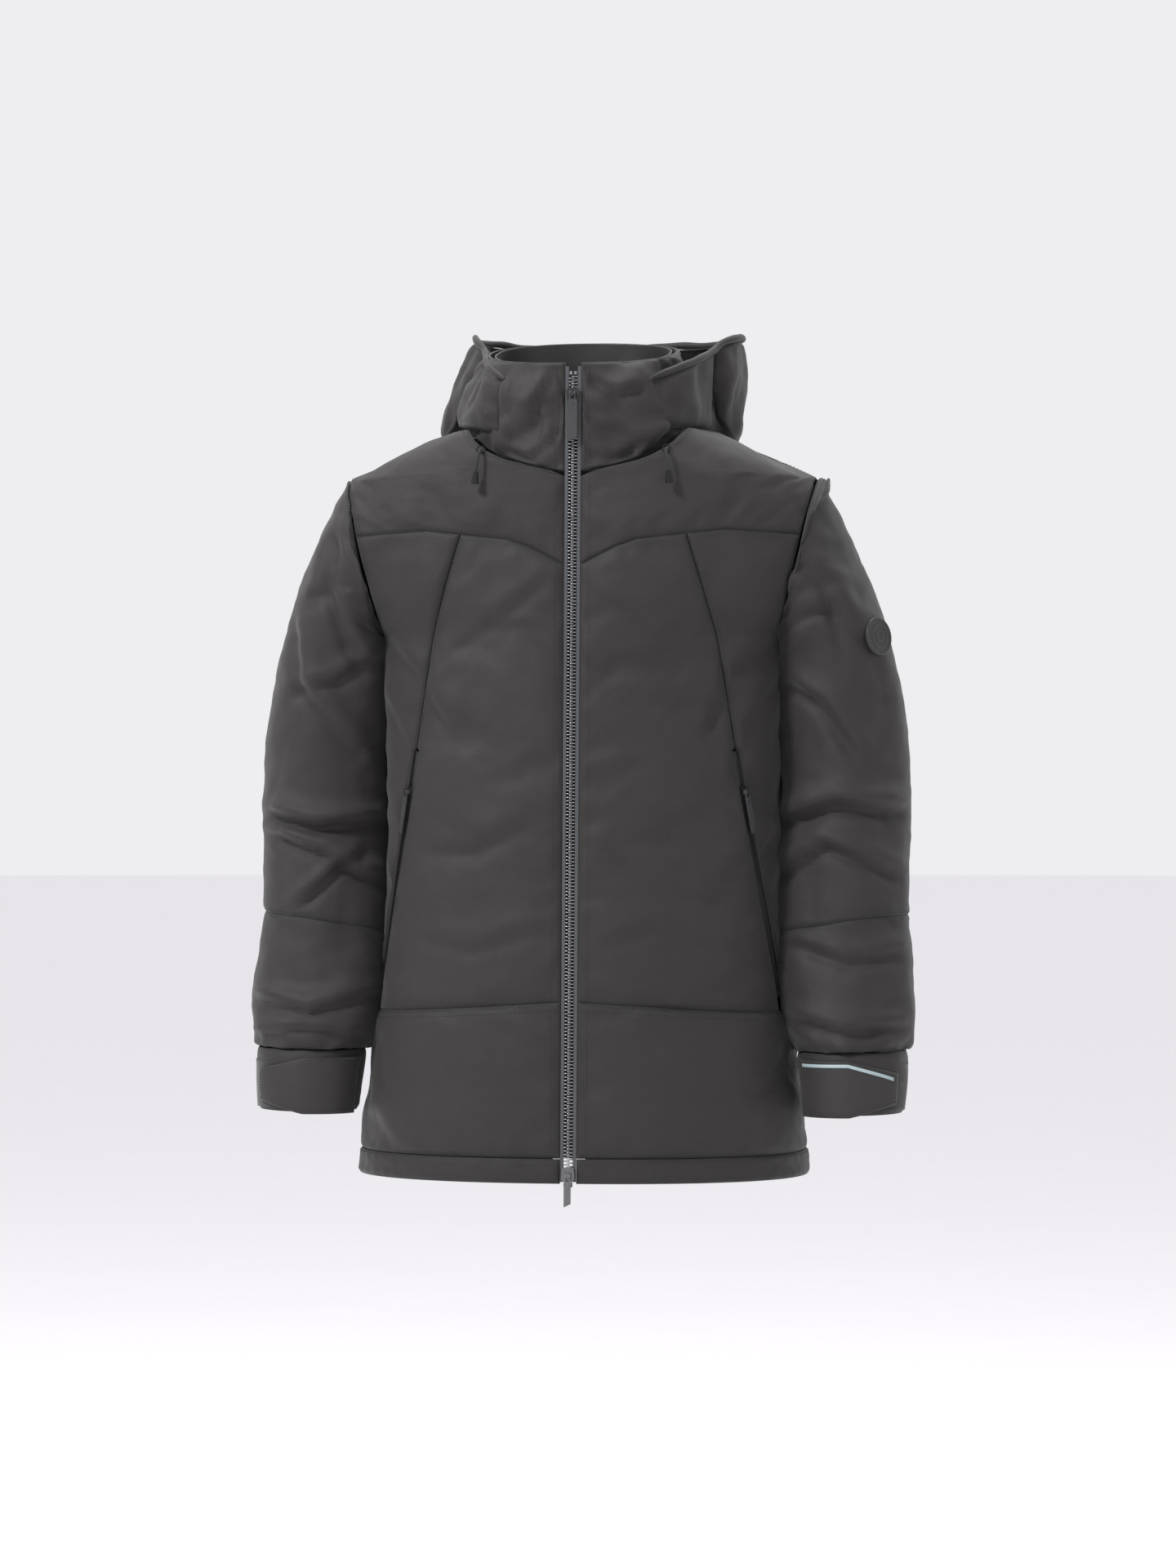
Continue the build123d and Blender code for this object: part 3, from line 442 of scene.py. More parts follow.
# ---- materials ------------------------------------------------------------------------------
def fabric(name, colour, rough=0.75, thread=900, bump=0.35, sheen=0.12, spread=0.25, seam=0.0, spec=0.35,
           metallic=0.0, coat=0.0, blotch=9.0, weave=True):
    """A woven or moulded surface: threads in the bump, colour and roughness that vary, painted shade that darkens the
    colour near seams.
    """
    m = bpy.data.materials.new(name)
    m.use_nodes = True
    nodes, links = m.node_tree.nodes, m.node_tree.links
    shader = nodes["Principled BSDF"]
    place = nodes.new("ShaderNodeTexCoord")

    def tex(scale, detail=3.0, stretch=(1, 1, 1)):
        mapping = nodes.new("ShaderNodeMapping")
        mapping.inputs["Scale"].default_value = stretch
        links.new(place.outputs["Object"], mapping.inputs["Vector"])
        n = nodes.new("ShaderNodeTexNoise")
        n.inputs["Scale"].default_value = scale
        n.inputs["Detail"].default_value = detail
        links.new(mapping.outputs["Vector"], n.inputs["Vector"])
        return n.outputs["Fac"]

    ramp = nodes.new("ShaderNodeValToRGB")
    dark = [c * (1 - spread) for c in colour]
    light = [min(c * (1 + spread), 1) for c in colour]
    ramp.color_ramp.elements[0].position, ramp.color_ramp.elements[1].position = 0.3, 0.7
    ramp.color_ramp.elements[0].color = dark + [1]
    ramp.color_ramp.elements[1].color = light + [1]
    blend_fac = nodes.new("ShaderNodeMath")
    blend_fac.operation = "ADD"
    half = nodes.new("ShaderNodeMath")
    half.operation = "MULTIPLY"
    half.inputs[1].default_value = 0.5
    links.new(tex(blotch), half.inputs[0])
    other = nodes.new("ShaderNodeMath")
    other.operation = "MULTIPLY"
    other.inputs[1].default_value = 0.5
    links.new(tex(thread, 2.0), other.inputs[0])
    links.new(half.outputs[0], blend_fac.inputs[0])
    links.new(other.outputs[0], blend_fac.inputs[1])
    links.new(blend_fac.outputs[0], ramp.inputs["Fac"])
    colour_out = ramp.outputs["Color"]
    # painted shade: near panel edges the colour is mixed towards 0.45 of itself, by the seam weight times seam
    if seam:
        attribute = nodes.new("ShaderNodeAttribute")
        attribute.attribute_name = "seam_near"
        mix = nodes.new("ShaderNodeMix")
        mix.data_type = "RGBA"
        seam_shade_amount = nodes.new("ShaderNodeMath")
        seam_shade_amount.operation = "MULTIPLY"
        seam_shade_amount.inputs[1].default_value = seam
        links.new(attribute.outputs["Fac"], seam_shade_amount.inputs[0])
        links.new(seam_shade_amount.outputs[0], mix.inputs["Factor"])
        links.new(colour_out, mix.inputs["A"])
        mix.inputs["B"].default_value = [c * 0.45 for c in colour] + [1]
        colour_out = mix.outputs["Result"]
    links.new(colour_out, shader.inputs["Base Color"])
    low_high = nodes.new("ShaderNodeMapRange")
    low_high.inputs["To Min"].default_value = max(rough - 0.1, 0.05)
    low_high.inputs["To Max"].default_value = min(rough + 0.1, 1)
    links.new(tex(60), low_high.inputs["Value"])
    links.new(low_high.outputs["Result"], shader.inputs["Roughness"])
    bumps = nodes.new("ShaderNodeBump")
    bumps.inputs["Strength"].default_value = bump
    bumps.inputs["Distance"].default_value = 0.0004
    height = tex(thread * 0.6, 2.0)
    if weave:
        waves = []
        for direction in ("X", "Y"):
            wave = nodes.new("ShaderNodeTexWave")
            wave.bands_direction = direction
            wave.inputs["Scale"].default_value = thread * 0.32
            wave.inputs["Distortion"].default_value = 0.6
            links.new(place.outputs["UV"], wave.inputs["Vector"])
            waves.append(wave.outputs["Fac"])
        total = nodes.new("ShaderNodeMath")
        total.operation = "MULTIPLY_ADD"
        links.new(waves[0], total.inputs[0])
        links.new(waves[1], total.inputs[1])
        links.new(height, total.inputs[2])
        height = total.outputs[0]
    links.new(height, bumps.inputs["Height"])
    links.new(bumps.outputs["Normal"], shader.inputs["Normal"])
    shader.inputs["Metallic"].default_value = metallic
    shader.inputs["Sheen Weight"].default_value = sheen
    shader.inputs["Specular IOR Level"].default_value = spec
    shader.inputs["Coat Weight"].default_value = coat
    return m


LOOKS = {
    # seam sets how strongly painted shade darkens the colour near seams
    "shell": fabric("charcoal shell weave", (0.0170, 0.0147, 0.0146), 0.62, seam=0.7),
    "lining": fabric("dark satin lining", (0.009, 0.009, 0.010), 0.42, 1500, 0.15, spec=0.5),
    "tape": fabric("laminated zip tape", (0.060, 0.063, 0.067), 0.4, 1200, 0.2, spread=0.12, weave=False),
    "teeth": fabric("gunmetal teeth", (0.30, 0.30, 0.31), 0.24, 400, 0.08, 0, metallic=0.9, weave=False),
    "black_metal": fabric("black satin metal", (0.05, 0.05, 0.052), 0.34, 700, 0.1, 0, metallic=0.7, weave=False),
    "pull_rubber": fabric("matt pull rubber", (0.038, 0.038, 0.040), 0.5, 500, 0.2, 0.02, weave=False),
    "steel": fabric("worn satin steel", (0.20, 0.20, 0.205), 0.3, 600, 0.15, 0, metallic=1.0, weave=False),
    "loops": fabric("fuzzy loop patch", (0.01, 0.01, 0.01), 0.95, 700, 1.0, 0.3, weave=False),
    "cord": fabric("braided cord", (0.012, 0.012, 0.013), 0.6, 1600, 0.8),
    "plastic": fabric("satin black plastic", (0.004, 0.004, 0.0045), 0.24, 500, 0.12, 0, weave=False),
    "badge": fabric("moulded rubber", (0.028, 0.028, 0.029), 0.5, 450, 0.25, 0.02, weave=False),
    "thread": fabric("sewing thread", (0.022, 0.020, 0.020), 0.6, 2500, 0.5, 0.05),
    "reflective": fabric("pale reflective line", (0.3, 0.37, 0.39), 0.35, 900, 0.2, 0, weave=False),
    "strap": fabric("smooth strap", (0.0200, 0.0178, 0.0180), 0.56, 1100, 0.2, seam=0.3),
    "studio": fabric("studio paper", (0.93, 0.92, 0.94), 0.9, 40, 0.02, 0, spread=0.01, weave=False),
}


# ---- torso ----------------------------------------------------------------------------------
def princess_x(sign):
    def x_of_z(z):
        gap = np.where(z < POCKET_TOP_Z, POCKET_EDGE, 0.3)
        return curve(PRINCESS, 1, z, 5) + sign * gap
    return x_of_z


def waist(x, y):
    return 166 - 0.066 * abs(np.asarray(x)) + 0 * y


def yoke(x, y):
    return np.interp(abs(np.asarray(x, float)), YOKE[:, 0], YOKE[:, 1]) + 0 * y


def level(z):
    return lambda x, y: z + 0 * (np.asarray(x) + y)


def axis_of(grid):
    centre = grid.copy()
    centre[..., :2] = 0
    return centre


def yoke_top(x, y):
    """The collar's seam, then the neck's side."""
    return np.interp(abs(np.asarray(x, float)), np.append(COLLAR_SEAM[:, 1], 300),
                     np.append(COLLAR_SEAM[:, 0], 698)) + 0 * y


def zip_edge(z):
    return ZIP_SLOT + 0 * z


def yoke_inner(z):
    seam = np.interp(z, COLLAR_SEAM[:, 0], COLLAR_SEAM[:, 1])
    return np.where(z < 653.5, ZIP_SLOT, np.maximum(seam + 0.6, ZIP_SLOT))


FRONT_FOLDS = {
    1: [([(12, 540), (60, 520), (118, 470)], 12, 2.0), ([(188, 500), (150, 470), (120, 400)], 11, 3.2),
        ([(190, 470), (160, 420), (146, 360)], 9, 2.6), ([(40, 300), (90, 262), (150, 250)], 14, 2.2),
        ([(20, 210), (80, 232), (150, 205)], 13, 2.0), ([(186, 330), (172, 300), (168, 250)], 8, 2.2)],
    -1: [([(-12, 560), (-70, 512), (-120, 480)], 12, 2.0), ([(-188, 505), (-148, 462), (-116, 410)], 11, 3.4),
         ([(-190, 462), (-158, 400), (-150, 350)], 9, 2.6), ([(-30, 330), (-90, 300), (-140, 300)], 14, 2.2),
         ([(-22, 232), (-90, 210), (-150, 224)], 12, 2.2), ([(-186, 300), (-172, 262), (-176, 214)], 8, 2.0)],
}
edge = at_x(TRUNK, False, zip_edge)
halves = {
    "front_panel": (body_grid(TRUNK, False, at_x(TRUNK, False, princess_x(-1)), edge, waist, yoke), 0.022, 3.0),
    "side_panel": (body_grid(TRUNK, False, side(TRUNK, False), at_x(TRUNK, False, princess_x(1)), waist, yoke),
                   0.03, 3.5),
    "lower_front": (body_grid(TRUNK, False, side(TRUNK, False), edge, level(23.2), waist), 0.022, 3.0),
    "front_yoke": (body_grid(TRUNK, False, side(TRUNK, False), at_x(TRUNK, False, yoke_inner), yoke, level(697), 1.9),
                   0.025, 2.5),
}
for name, (grid, grow, cap) in halves.items():
    for sign, word in ((1, "left"), (-1, "right")):
        g = grid if sign > 0 else mirror(grid)
        drop = (0, 0, 90) if name == "front_yoke" else (0, 0, 0)
        g = np.stack([np.clip(g[..., 0], -SHOULDER_X, SHOULDER_X), g[..., 1], g[..., 2]], -1)
        padded_panel(f"{name}_{word}_cloth", f"{name}_{word}", g, axis_of(g) - drop, grow=grow, cap=cap, pressure=1.2,
                     crumple=0.55,
                     folds=FRONT_FOLDS[sign])
centre_back = at_x(TRUNK, True, lambda z: 0 * z)
for name, low, high in (("lower_back", 23.2, 155), ("back_panel", 155.5, 590), ("back_yoke", 590.5, 698)):
    g = whole(body_grid(TRUNK, True, side(TRUNK, True), centre_back, level(low), level(high)))
    g = np.stack([np.clip(g[..., 0], -SHOULDER_X, SHOULDER_X), g[..., 1], g[..., 2]], -1)
    padded_panel(name + "_cloth", name, g, axis_of(g) - (0, 0, 60 if low > 500 else 0), cap=3.5, grow=0.025,
                 pressure=1.2)
hem = body_grid(TRUNK, False, side(TRUNK, False), edge, level(0.3), level(22.8))
for sign, word in ((1, "left"), (-1, "right")):
    g = hem if sign > 0 else mirror(hem)
    padded_panel(f"hem_{word}_cloth", "hem_band" if sign > 0 else None, g, axis_of(g), soft=False, base=0.4)
g = whole(body_grid(TRUNK, True, side(TRUNK, True), centre_back, level(0.3), level(22.8)))
padded_panel("hem_back_cloth", None, g, axis_of(g), soft=False, base=0.4)


# ---- collar ---------------------------------------------------------------------------------
def collar_top(x, y):
    return 754 + (np.asarray(y) + 96) * 0.2 + 0 * np.asarray(x)


def collar_low(x, y):
    return np.interp(abs(np.asarray(x, float)), COLLAR_SEAM[:, 1], COLLAR_SEAM[:, 0]) + 0.6 + 0 * y


collar_edge = at_x(COLLAR, False, zip_edge)
collar = body_grid(COLLAR, False, side(COLLAR, False), collar_edge, collar_low, collar_top)
creases = {1: [([(14, 742), (40, 722), (62, 728)], 7, 4.5), ([(60, 664), (82, 690), (98, 726)], 7, 4.5),
               ([(12, 672), (40, 668), (66, 684)], 6, 4.0), ([(30, 735), (50, 712), (88, 700)], 9, 2.6), ([(18, 700), (55, 682), (90, 690)], 9, 3.0)],
           -1: [([(-20, 742), (-34, 712), (-30, 672)], 6, 4.0), ([(-66, 746), (-70, 706), (-64, 672)], 6, 4.5),
                ([(-12, 690), (-40, 664), (-70, 680)], 6, 4.0), ([(-50, 745), (-58, 710), (-52, 675)], 7, 2.6), ([(-76, 742), (-84, 715), (-80, 690)], 7, 2.4)]}
for sign, word in ((1, "left"), (-1, "right")):
    g = collar if sign > 0 else mirror(collar)
    padded_panel(f"collar_front_{word}_cloth", f"collar_front_{word}", g, axis_of(g), grow=0.15, pressure=5,
                 cap=9, folds=creases[sign], base=0, crumple=2.2)
g = whole(body_grid(COLLAR, True, side(COLLAR, True), at_x(COLLAR, True, lambda z: 0 * z), level(700.5), collar_top))
padded_panel("collar_back_cloth", "collar_back", g, axis_of(g), grow=0.05, pressure=4, cap=5)

# ---- sleeves --------------------------------------------------------------------------------
SLEEVE_FOLDS = {
    1: [([(190, 318), (240, 336), (304, 330)], 12, 9.5), ([(192, 268), (232, 298), (300, 270)], 10, 7.4),
        ([(192, 455), (228, 430), (262, 372)], 11, 6.1), ([(196, 505), (240, 520), (270, 480)], 12, 4.7),
        ([(206, 575), (236, 540), (250, 470)], 11, 4.7), ([(200, 215), (250, 196), (304, 206)], 9, 5.4),
        ([(200, 152), (250, 138), (306, 146)], 8, 6.1), ([(204, 128), (250, 120), (304, 128)], 5, 4.1)],
    -1: [([(-192, 322), (-245, 316), (-303, 330)], 11, 9.5), ([(-194, 262), (-240, 290), (-296, 312)], 9, 7.4),
         ([(-204, 300), (-240, 262), (-262, 240)], 8, 6.1), ([(-232, 612), (-240, 540), (-210, 460)], 12, 5.4),
         ([(-278, 520), (-262, 440), (-214, 392)], 12, 5.4), ([(-192, 480), (-230, 450), (-280, 440)], 10, 4.1),
         ([(-198, 168), (-250, 150), (-306, 164)], 8, 6.1), ([(-202, 132), (-250, 138), (-306, 130)], 6, 4.7)],
}
ELBOW_ROW_STATION = 9.0
for sign, word in ((1, "left"), (-1, "right")):
    flip_x = np.array((sign, 1, 1))
    upper, upper_mid = sleeve_grid(0, ELBOW_ROW_STATION)
    lower, lower_mid = sleeve_grid(ELBOW_ROW_STATION, 11.98)
    both = np.concatenate([upper, lower[1:]]) * flip_x
    mid = np.concatenate([upper_mid, lower_mid[1:]]) * flip_x
    pushed = np.zeros_like(both)
    pushed = blow(both, normals_of(both, mid, True)[1], True, 0.13, 2.0)
    split = len(upper)
    for part, g, c, moved in (("sleeve_upper", upper, upper_mid, pushed[:split]),
                              ("sleeve_lower", lower, lower_mid, pushed[split - 1:])):
        padded_panel(f"{part}_{word}_cloth", f"{part}_{word}", g * flip_x, c * flip_x, closed=True, cap=9,
                     folds=SLEEVE_FOLDS[sign], cap_lift=2.6 if part == "sleeve_upper" else 0.0, move=moved,
                     roll=1.2, low_clip=-7.0)
    g, c = sleeve_grid(12.02, 14)
    padded_panel(f"cuff_{word}_cloth", f"cuff_{word}", g * flip_x, c * flip_x, closed=True, grow=0.03, cap=2.5,
                 crumple=0.4, roll=1.2)

# ---- hood -----------------------------------------------------------------------------------
for name, first, last, columns in (("hood_side_left", None, 62.3, 45), ("hood_centre", 61.7, -61.7, 31)):
    g, c = hood_grid(first, last, 633, 789, columns=columns)
    padded_panel(name + "_cloth", name, lean(g), c, body="hood_cloth", grow=0.07, pressure=3, cap=7, crumple=1.6)
    if first is None:
        padded_panel("hood_side_right_cloth", "hood_side_right", lean(mirror(g)), mirror(c), body="hood_cloth", grow=0.07,
                     pressure=3, cap=7, crumple=1.6)
WING = np.array([(70, -86), (84, -77), (97, -62), (108, -42), (116, -18), (122, 5)], float)
s = np.linspace(0, 1, 19)
plan = np.stack([np.interp(s, np.linspace(0, 1, 6), WING[:, i]) for i in (0, 1)], -1)
top = 738 + 50 * s ** 1.1
v = np.linspace(0, 1, 17)[:, None]
wing = np.stack([plan[None, :, 0] + 3 * v * s, plan[None, :, 1] + 0 * v, 690 + 14 * s + (top - 690 - 14 * s)[None] * v], -1)
for sign, word in ((1, "left"), (-1, "right")):
    g = wing if sign > 0 else mirror(wing)
    padded_panel(f"hood_wing_{word}_cloth", f"hood_wing_{word}", lean(g), axis_of(g), body="hood_cloth", grow=0.08,
                 pressure=5, cap=7, crumple=1.5)


def tube(name, path, radius, look, body, node=None, sides=10, flat=1.0, tip=1.0):
    """A bound edge: a soft tube along a path, closed at both ends, which narrow to tip."""
    path = np.array(path, float)
    tangent = np.gradient(path, axis=0)
    tangent /= np.linalg.norm(tangent, axis=1, keepdims=True)
    side_way = np.cross(tangent, (0, 0, 1.0))
    side_way /= np.maximum(np.linalg.norm(side_way, axis=1, keepdims=True), 1e-6)
    up = np.cross(side_way, tangent)
    turn = np.linspace(0, 2 * pi, sides, endpoint=False)
    count = np.arange(len(path))
    narrow = np.interp(count, (0, 4, count[-1] - 4, count[-1]), (tip, 1, 1, tip))
    size = radius * (narrow * (1 + 0.08 * np.sin(count * 0.9)))[:, None, None]
    ring = (path[:, None] + size * (side_way[:, None] * np.cos(turn)[None, :, None]
                                    + flat * up[:, None] * np.sin(turn)[None, :, None]))
    points = ring.reshape(-1, 3)
    faces = [tuple(f) for f in quads(len(path), sides, True, False)]
    faces += [tuple(range(sides))[::-1], tuple(range(len(points) - sides, len(points)))]
    mesh = new_mesh(name, (points - ORIGIN) / 1000, faces)
    mesh.polygons.foreach_set("use_smooth", np.ones(len(faces), bool))
    mesh.materials.append(LOOKS[look])
    piece = bpy.data.objects.new(name, mesh)
    bpy.context.scene.collection.objects.link(piece)
    attach(piece, body)
    if node:
        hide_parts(node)
    return piece


half_rim, _ = hood_grid(None, 0, 791, 793, columns=60)
rim = np.concatenate([half_rim[1], (half_rim[1] * (-1, 1, 1))[::-1][1:]])
rim[:, 2] += 1.2 * np.sin(np.arange(len(rim)) * 0.31)
wing_top = np.stack([plan[:, 0] + 3 * s, plan[:, 1], top + 1], -1)
RIM_GAP = 2  # points of the rim left out beside each wing, where the two lines meet
opening = np.concatenate([wing_top, rim[RIM_GAP:-RIM_GAP], (wing_top * (-1, 1, 1))[::-1]])
reach = np.append(0, np.cumsum(np.linalg.norm(np.diff(opening, axis=0), axis=1)))
even = np.linspace(0, reach[-1], 150)
opening = np.stack([np.interp(even, reach, opening[:, i]) for i in range(3)], -1)
for _ in range(3):
    opening[1:-1] = (opening[:-2] + 2 * opening[1:-1] + opening[2:]) / 4
tube("hood_binding", lean(opening), 3.0, "shell", "hood_cloth", "hood_rim", 12, 1.15, 0.35)


# ---- linings and inner sheets ---------------------------------------------------------------
def sheet(name, node, grid, centre, depth, look="lining", thick=1.2, closed=False,
          body="shell"):
    normal, flip = normals_of(grid, centre, closed)
    edge_gap, u, v = border_distance(grid, closed)
    outside = grid - normal * (depth - 0.8 * ripple(grid, 34, 40))[..., None]
    piece = shell_piece(name, outside, outside - normal * thick, closed, flip, u, v, edge_gap, look)
    attach(piece, body)
    if node:
        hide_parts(node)
    return piece


around = np.linspace(0.06, pi - 0.06, 61)
collar_line = body_point(COLLAR, np.full(61, 716.0), np.minimum(around, pi - around), True)
collar_line[around > pi / 2, 0] *= -1
turns = np.linspace(0.02, pi - 0.02, 61)
hood_line = np.stack([118 * np.sign(np.cos(turns)) * abs(np.cos(turns)) ** 0.9, 84 + 74 * np.sin(turns) ** 0.9,
                      np.full(61, 668.0)], -1)
share = np.linspace(0, 1, 15)[:, None, None]
web = collar_line[None] * (1 - share) + hood_line[None] * share
web[..., 2] -= 10 * np.sin(pi * share[..., 0])
below = web.copy()
below[..., 2] -= 300
sheet("hood_floor_cloth", None, web, below, 0, body="hood_floor")

inner_edge = at_x(TRUNK, False, lambda z: 15.2 + 0 * z)
front_lining = body_grid(TRUNK, False, side(TRUNK, False), inner_edge, level(3), level(650))
back_lining = whole(body_grid(TRUNK, True, side(TRUNK, True), centre_back, level(3), level(690)))
sheet("lining_back_cloth", "body_lining", back_lining, axis_of(back_lining), 9.0)
for sign, word in ((1, "left"), (-1, "right")):
    g = front_lining if sign > 0 else mirror(front_lining)
    sheet(f"lining_front_{word}_cloth", None, g, axis_of(g), 9.0)
    g = body_grid(COLLAR, False, side(COLLAR, False), at_x(COLLAR, False, lambda z: 15 + 0 * z), collar_low, collar_top)
    g = g if sign > 0 else mirror(g)
    sheet(f"collar_lining_{word}_cloth", "collar_lining" if sign > 0 else None, g, axis_of(g), 8.8)
    points, middle = sleeve_grid(0, 14, grow=-12.5)
    mirrored = (sign, 1, 1)
    sheet(f"sleeve_lining_{word}_cloth", f"sleeve_lining_{word}", points * mirrored, middle * mirrored, 0, closed=True)
    bag = body_grid(TRUNK, False, at_x(TRUNK, False, lambda z: 158 - (z - 180) * 0.1),
                    at_x(TRUNK, False, lambda z: 45 + 0 * z), level(180), level(380))
    g = bag if sign > 0 else mirror(bag)
    sheet(f"pocket_bag_{word}_cloth", f"pocket_bag_{word}", g, axis_of(g), 12.2)
g = whole(body_grid(COLLAR, True, side(COLLAR, True), at_x(COLLAR, True, lambda z: 0 * z), level(700.5), collar_top))
sheet("collar_lining_back_cloth", None, g, axis_of(g), 8.8)
flap = body_grid(TRUNK, False, at_x(TRUNK, False, lambda z: 19 + 0 * z), at_x(TRUNK, False, lambda z: 0 * z),
                 level(26), level(640))
flap = whole(flap)
sheet("storm_flap_cloth", "storm_flap", flap, axis_of(flap), 12.2)


# ---- cuff straps ----------------------------------------------------------------------------
def cuff_grid(first, last, low, high, grow, rows=17, columns=61):
    """low and high give the share of the cuff's height at a turn in degrees."""
    turn = np.linspace(first, last, columns)
    v = np.linspace(0, 1, rows)[:, None]
    share = low(turn) + (high(turn) - low(turn)) * v
    station = 13.95 + (12.15 - 13.95) * share
    columns_of = [np.interp(station, range(15), SLEEVE[:, i]) for i in range(6)]
    ox, oz, ix, iz, cy, depth = columns_of
    outer, inner = np.stack([ox, cy, oz], -1), np.stack([ix, cy, iz], -1)
    across = outer - inner
    half = np.linalg.norm(across, axis=-1, keepdims=True) / 2
    c, s_ = np.cos(np.radians(turn))[None, :, None], np.sin(np.radians(turn))[None, :, None]
    middle = (outer + inner) / 2
    points = middle + across / (2 * half) * (half + grow) * c
    points = points + np.array((0, 1, 0)) * (depth[..., None] + grow) * s_
    return points, middle


def taper(turn, start=-92):
    return np.clip((turn - start) / (-36 - start), 0, 1)


for sign, word in ((1, "left"), (-1, "right")):
    flip_x = (sign, 1, 1)
    points, middle = cuff_grid(-158, -36, lambda t: 0.02 + 0.2 * taper(t), lambda t: 0.98 - 0.26 * taper(t), 3.9)
    padded_panel(f"cuff_strap_{word}", f"cuff_tab_{word}", points * flip_x, middle * flip_x, body=f"cuff_tab_{word}",
                 thick=2.6, soft=False, roll=0.9, crumple=0.15, look="strap", base=0)
    points, middle = cuff_grid(-75, 12, lambda t: 0.1 + 0 * t, lambda t: 0.88 + 0 * t, 1.0)
    sheet(f"loop_patch_{word}", f"cuff_loop_{word}", points * flip_x, middle * flip_x, 0, "loops", 0.7)
    if sign > 0:
        points, middle = cuff_grid(-146, -44, lambda t: 0.86 - 0.3 * taper(t), lambda t: 0.92 - 0.3 * taper(t), 4.5,
                                   3, 61)
        normal, flip = normals_of(points, middle, False)
        edge_gap, u, v = border_distance(points, False)
        line = shell_piece("reflective_line", points, points - normal * 0.8, False, flip, u, v, edge_gap, "reflective")
        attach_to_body(line, "cuff_tab_left")

# ---- stitching ------------------------------------------------------------------------------
stitches = {}


def sew(panel, where, inset, first=0.0, last=1.0, pitch=3.6):
    """A row of stitches parallel to one edge of a panel."""
    p = PANELS[panel]
    out, n, u, v = p["outside"], p["normal"], p["u"], p["v"]
    run = v if where in ("low", "high") else u
    lines = []
    for points, normal, dist in (zip(out.swapaxes(0, 1), n.swapaxes(0, 1), run.T) if where in ("low", "high")
                                 else zip(out, n, run)):
        at = inset if where in ("low", "start") else dist[-1] - inset
        lines.append([np.interp(at, dist, points[:, i]) for i in range(3)]
                     + [np.interp(at, dist, normal[:, i]) for i in range(3)])
    line = np.array(lines)
    if p["closed"]:
        line = np.concatenate([line, line[:1]])
    length = np.append(0, np.cumsum(np.linalg.norm(np.diff(line[:, :3], axis=0), axis=1)))
    total = length[-1]
    for start in np.arange(total * first + 2, total * last - 4, pitch):
        ends = [np.array([np.interp(start + d, length, line[:, i]) for i in range(6)]) for d in (0, pitch * 0.72)]
        stitches.setdefault(p["body"], []).append(ends)


for word in ("left", "right"):
    for inset in (2.5, 8.0):
        sew(f"lower_front_{word}_cloth", "high", inset)
        start = "start" if word == "left" else "end"
        sew(f"front_yoke_{word}_cloth", start, inset)
        sew(f"sleeve_upper_{word}_cloth", "low", inset + 1)
    inner = "end" if word == "left" else "start"
    outer = "start" if word == "left" else "end"
    for name in ("front_panel", "lower_front", "front_yoke"):
        sew(f"{name}_{word}_cloth", inner, 9.0)
    sew(f"collar_front_{word}_cloth", inner, 9.0)
    sew(f"front_panel_{word}_cloth", outer, 2.6)
    sew(f"side_panel_{word}_cloth", inner, 2.6)
    sew(f"front_yoke_{word}_cloth", "low", 2.6)
    sew(f"hem_{word}_cloth", "high", 2.0)
    sew(f"collar_front_{word}_cloth", "low", 2.6)
    sew(f"sleeve_upper_{word}_cloth", "high", 2.6)
    sew(f"sleeve_lower_{word}_cloth", "high", 2.6)
    sew(f"cuff_{word}_cloth", "high", 6.0)
    sew(f"hood_side_{word}_cloth", "end" if word == "left" else "start", 2.6)
    for where in ("low", "high", "start", "end"):
        sew(f"cuff_strap_{word}", where, 2.2, pitch=2.8)
for inset in (2.5, 8.0):
    sew("lower_back_cloth", "high", inset)
sew("back_yoke_cloth", "low", 2.6)
sew("hem_back_cloth", "high", 2.0)
for body, rows in stitches.items():
    points, faces = [], []
    for a, b in rows:
        n = (a[3:] + b[3:]) / 2
        n /= max(np.linalg.norm(n), 1e-6)
        d = b[:3] - a[:3]
        d /= max(np.linalg.norm(d), 1e-6)
        w = np.cross(n, d)
        k = len(points)
        start, end = a[:3] + n * -0.1, b[:3] + n * -0.1
        points.append(start)
        for base_point in (start + d * 0.5, end - d * 0.5):
            for ww, nn in ((0.34, 0), (0, 0.42), (-0.34, 0), (0, -0.3)):
                points.append(base_point + w * ww + n * (nn + 0.15))
        points.append(end)
        for i in range(4):
            j = (i + 1) % 4
            faces += [(k, k + 1 + j, k + 1 + i), (k + 1 + i, k + 1 + j, k + 5 + j, k + 5 + i),
                      (k + 9, k + 5 + i, k + 5 + j)]
    mesh = new_mesh("stitches_" + body, (np.array(points) - ORIGIN) / 1000, faces)
    mesh.polygons.foreach_set("use_smooth", np.ones(len(faces), bool))
    mesh.materials.append(LOOKS["thread"])
    piece = bpy.data.objects.new("stitches_" + body, mesh)
    bpy.context.scene.collection.objects.link(piece)
    attach(piece, body)

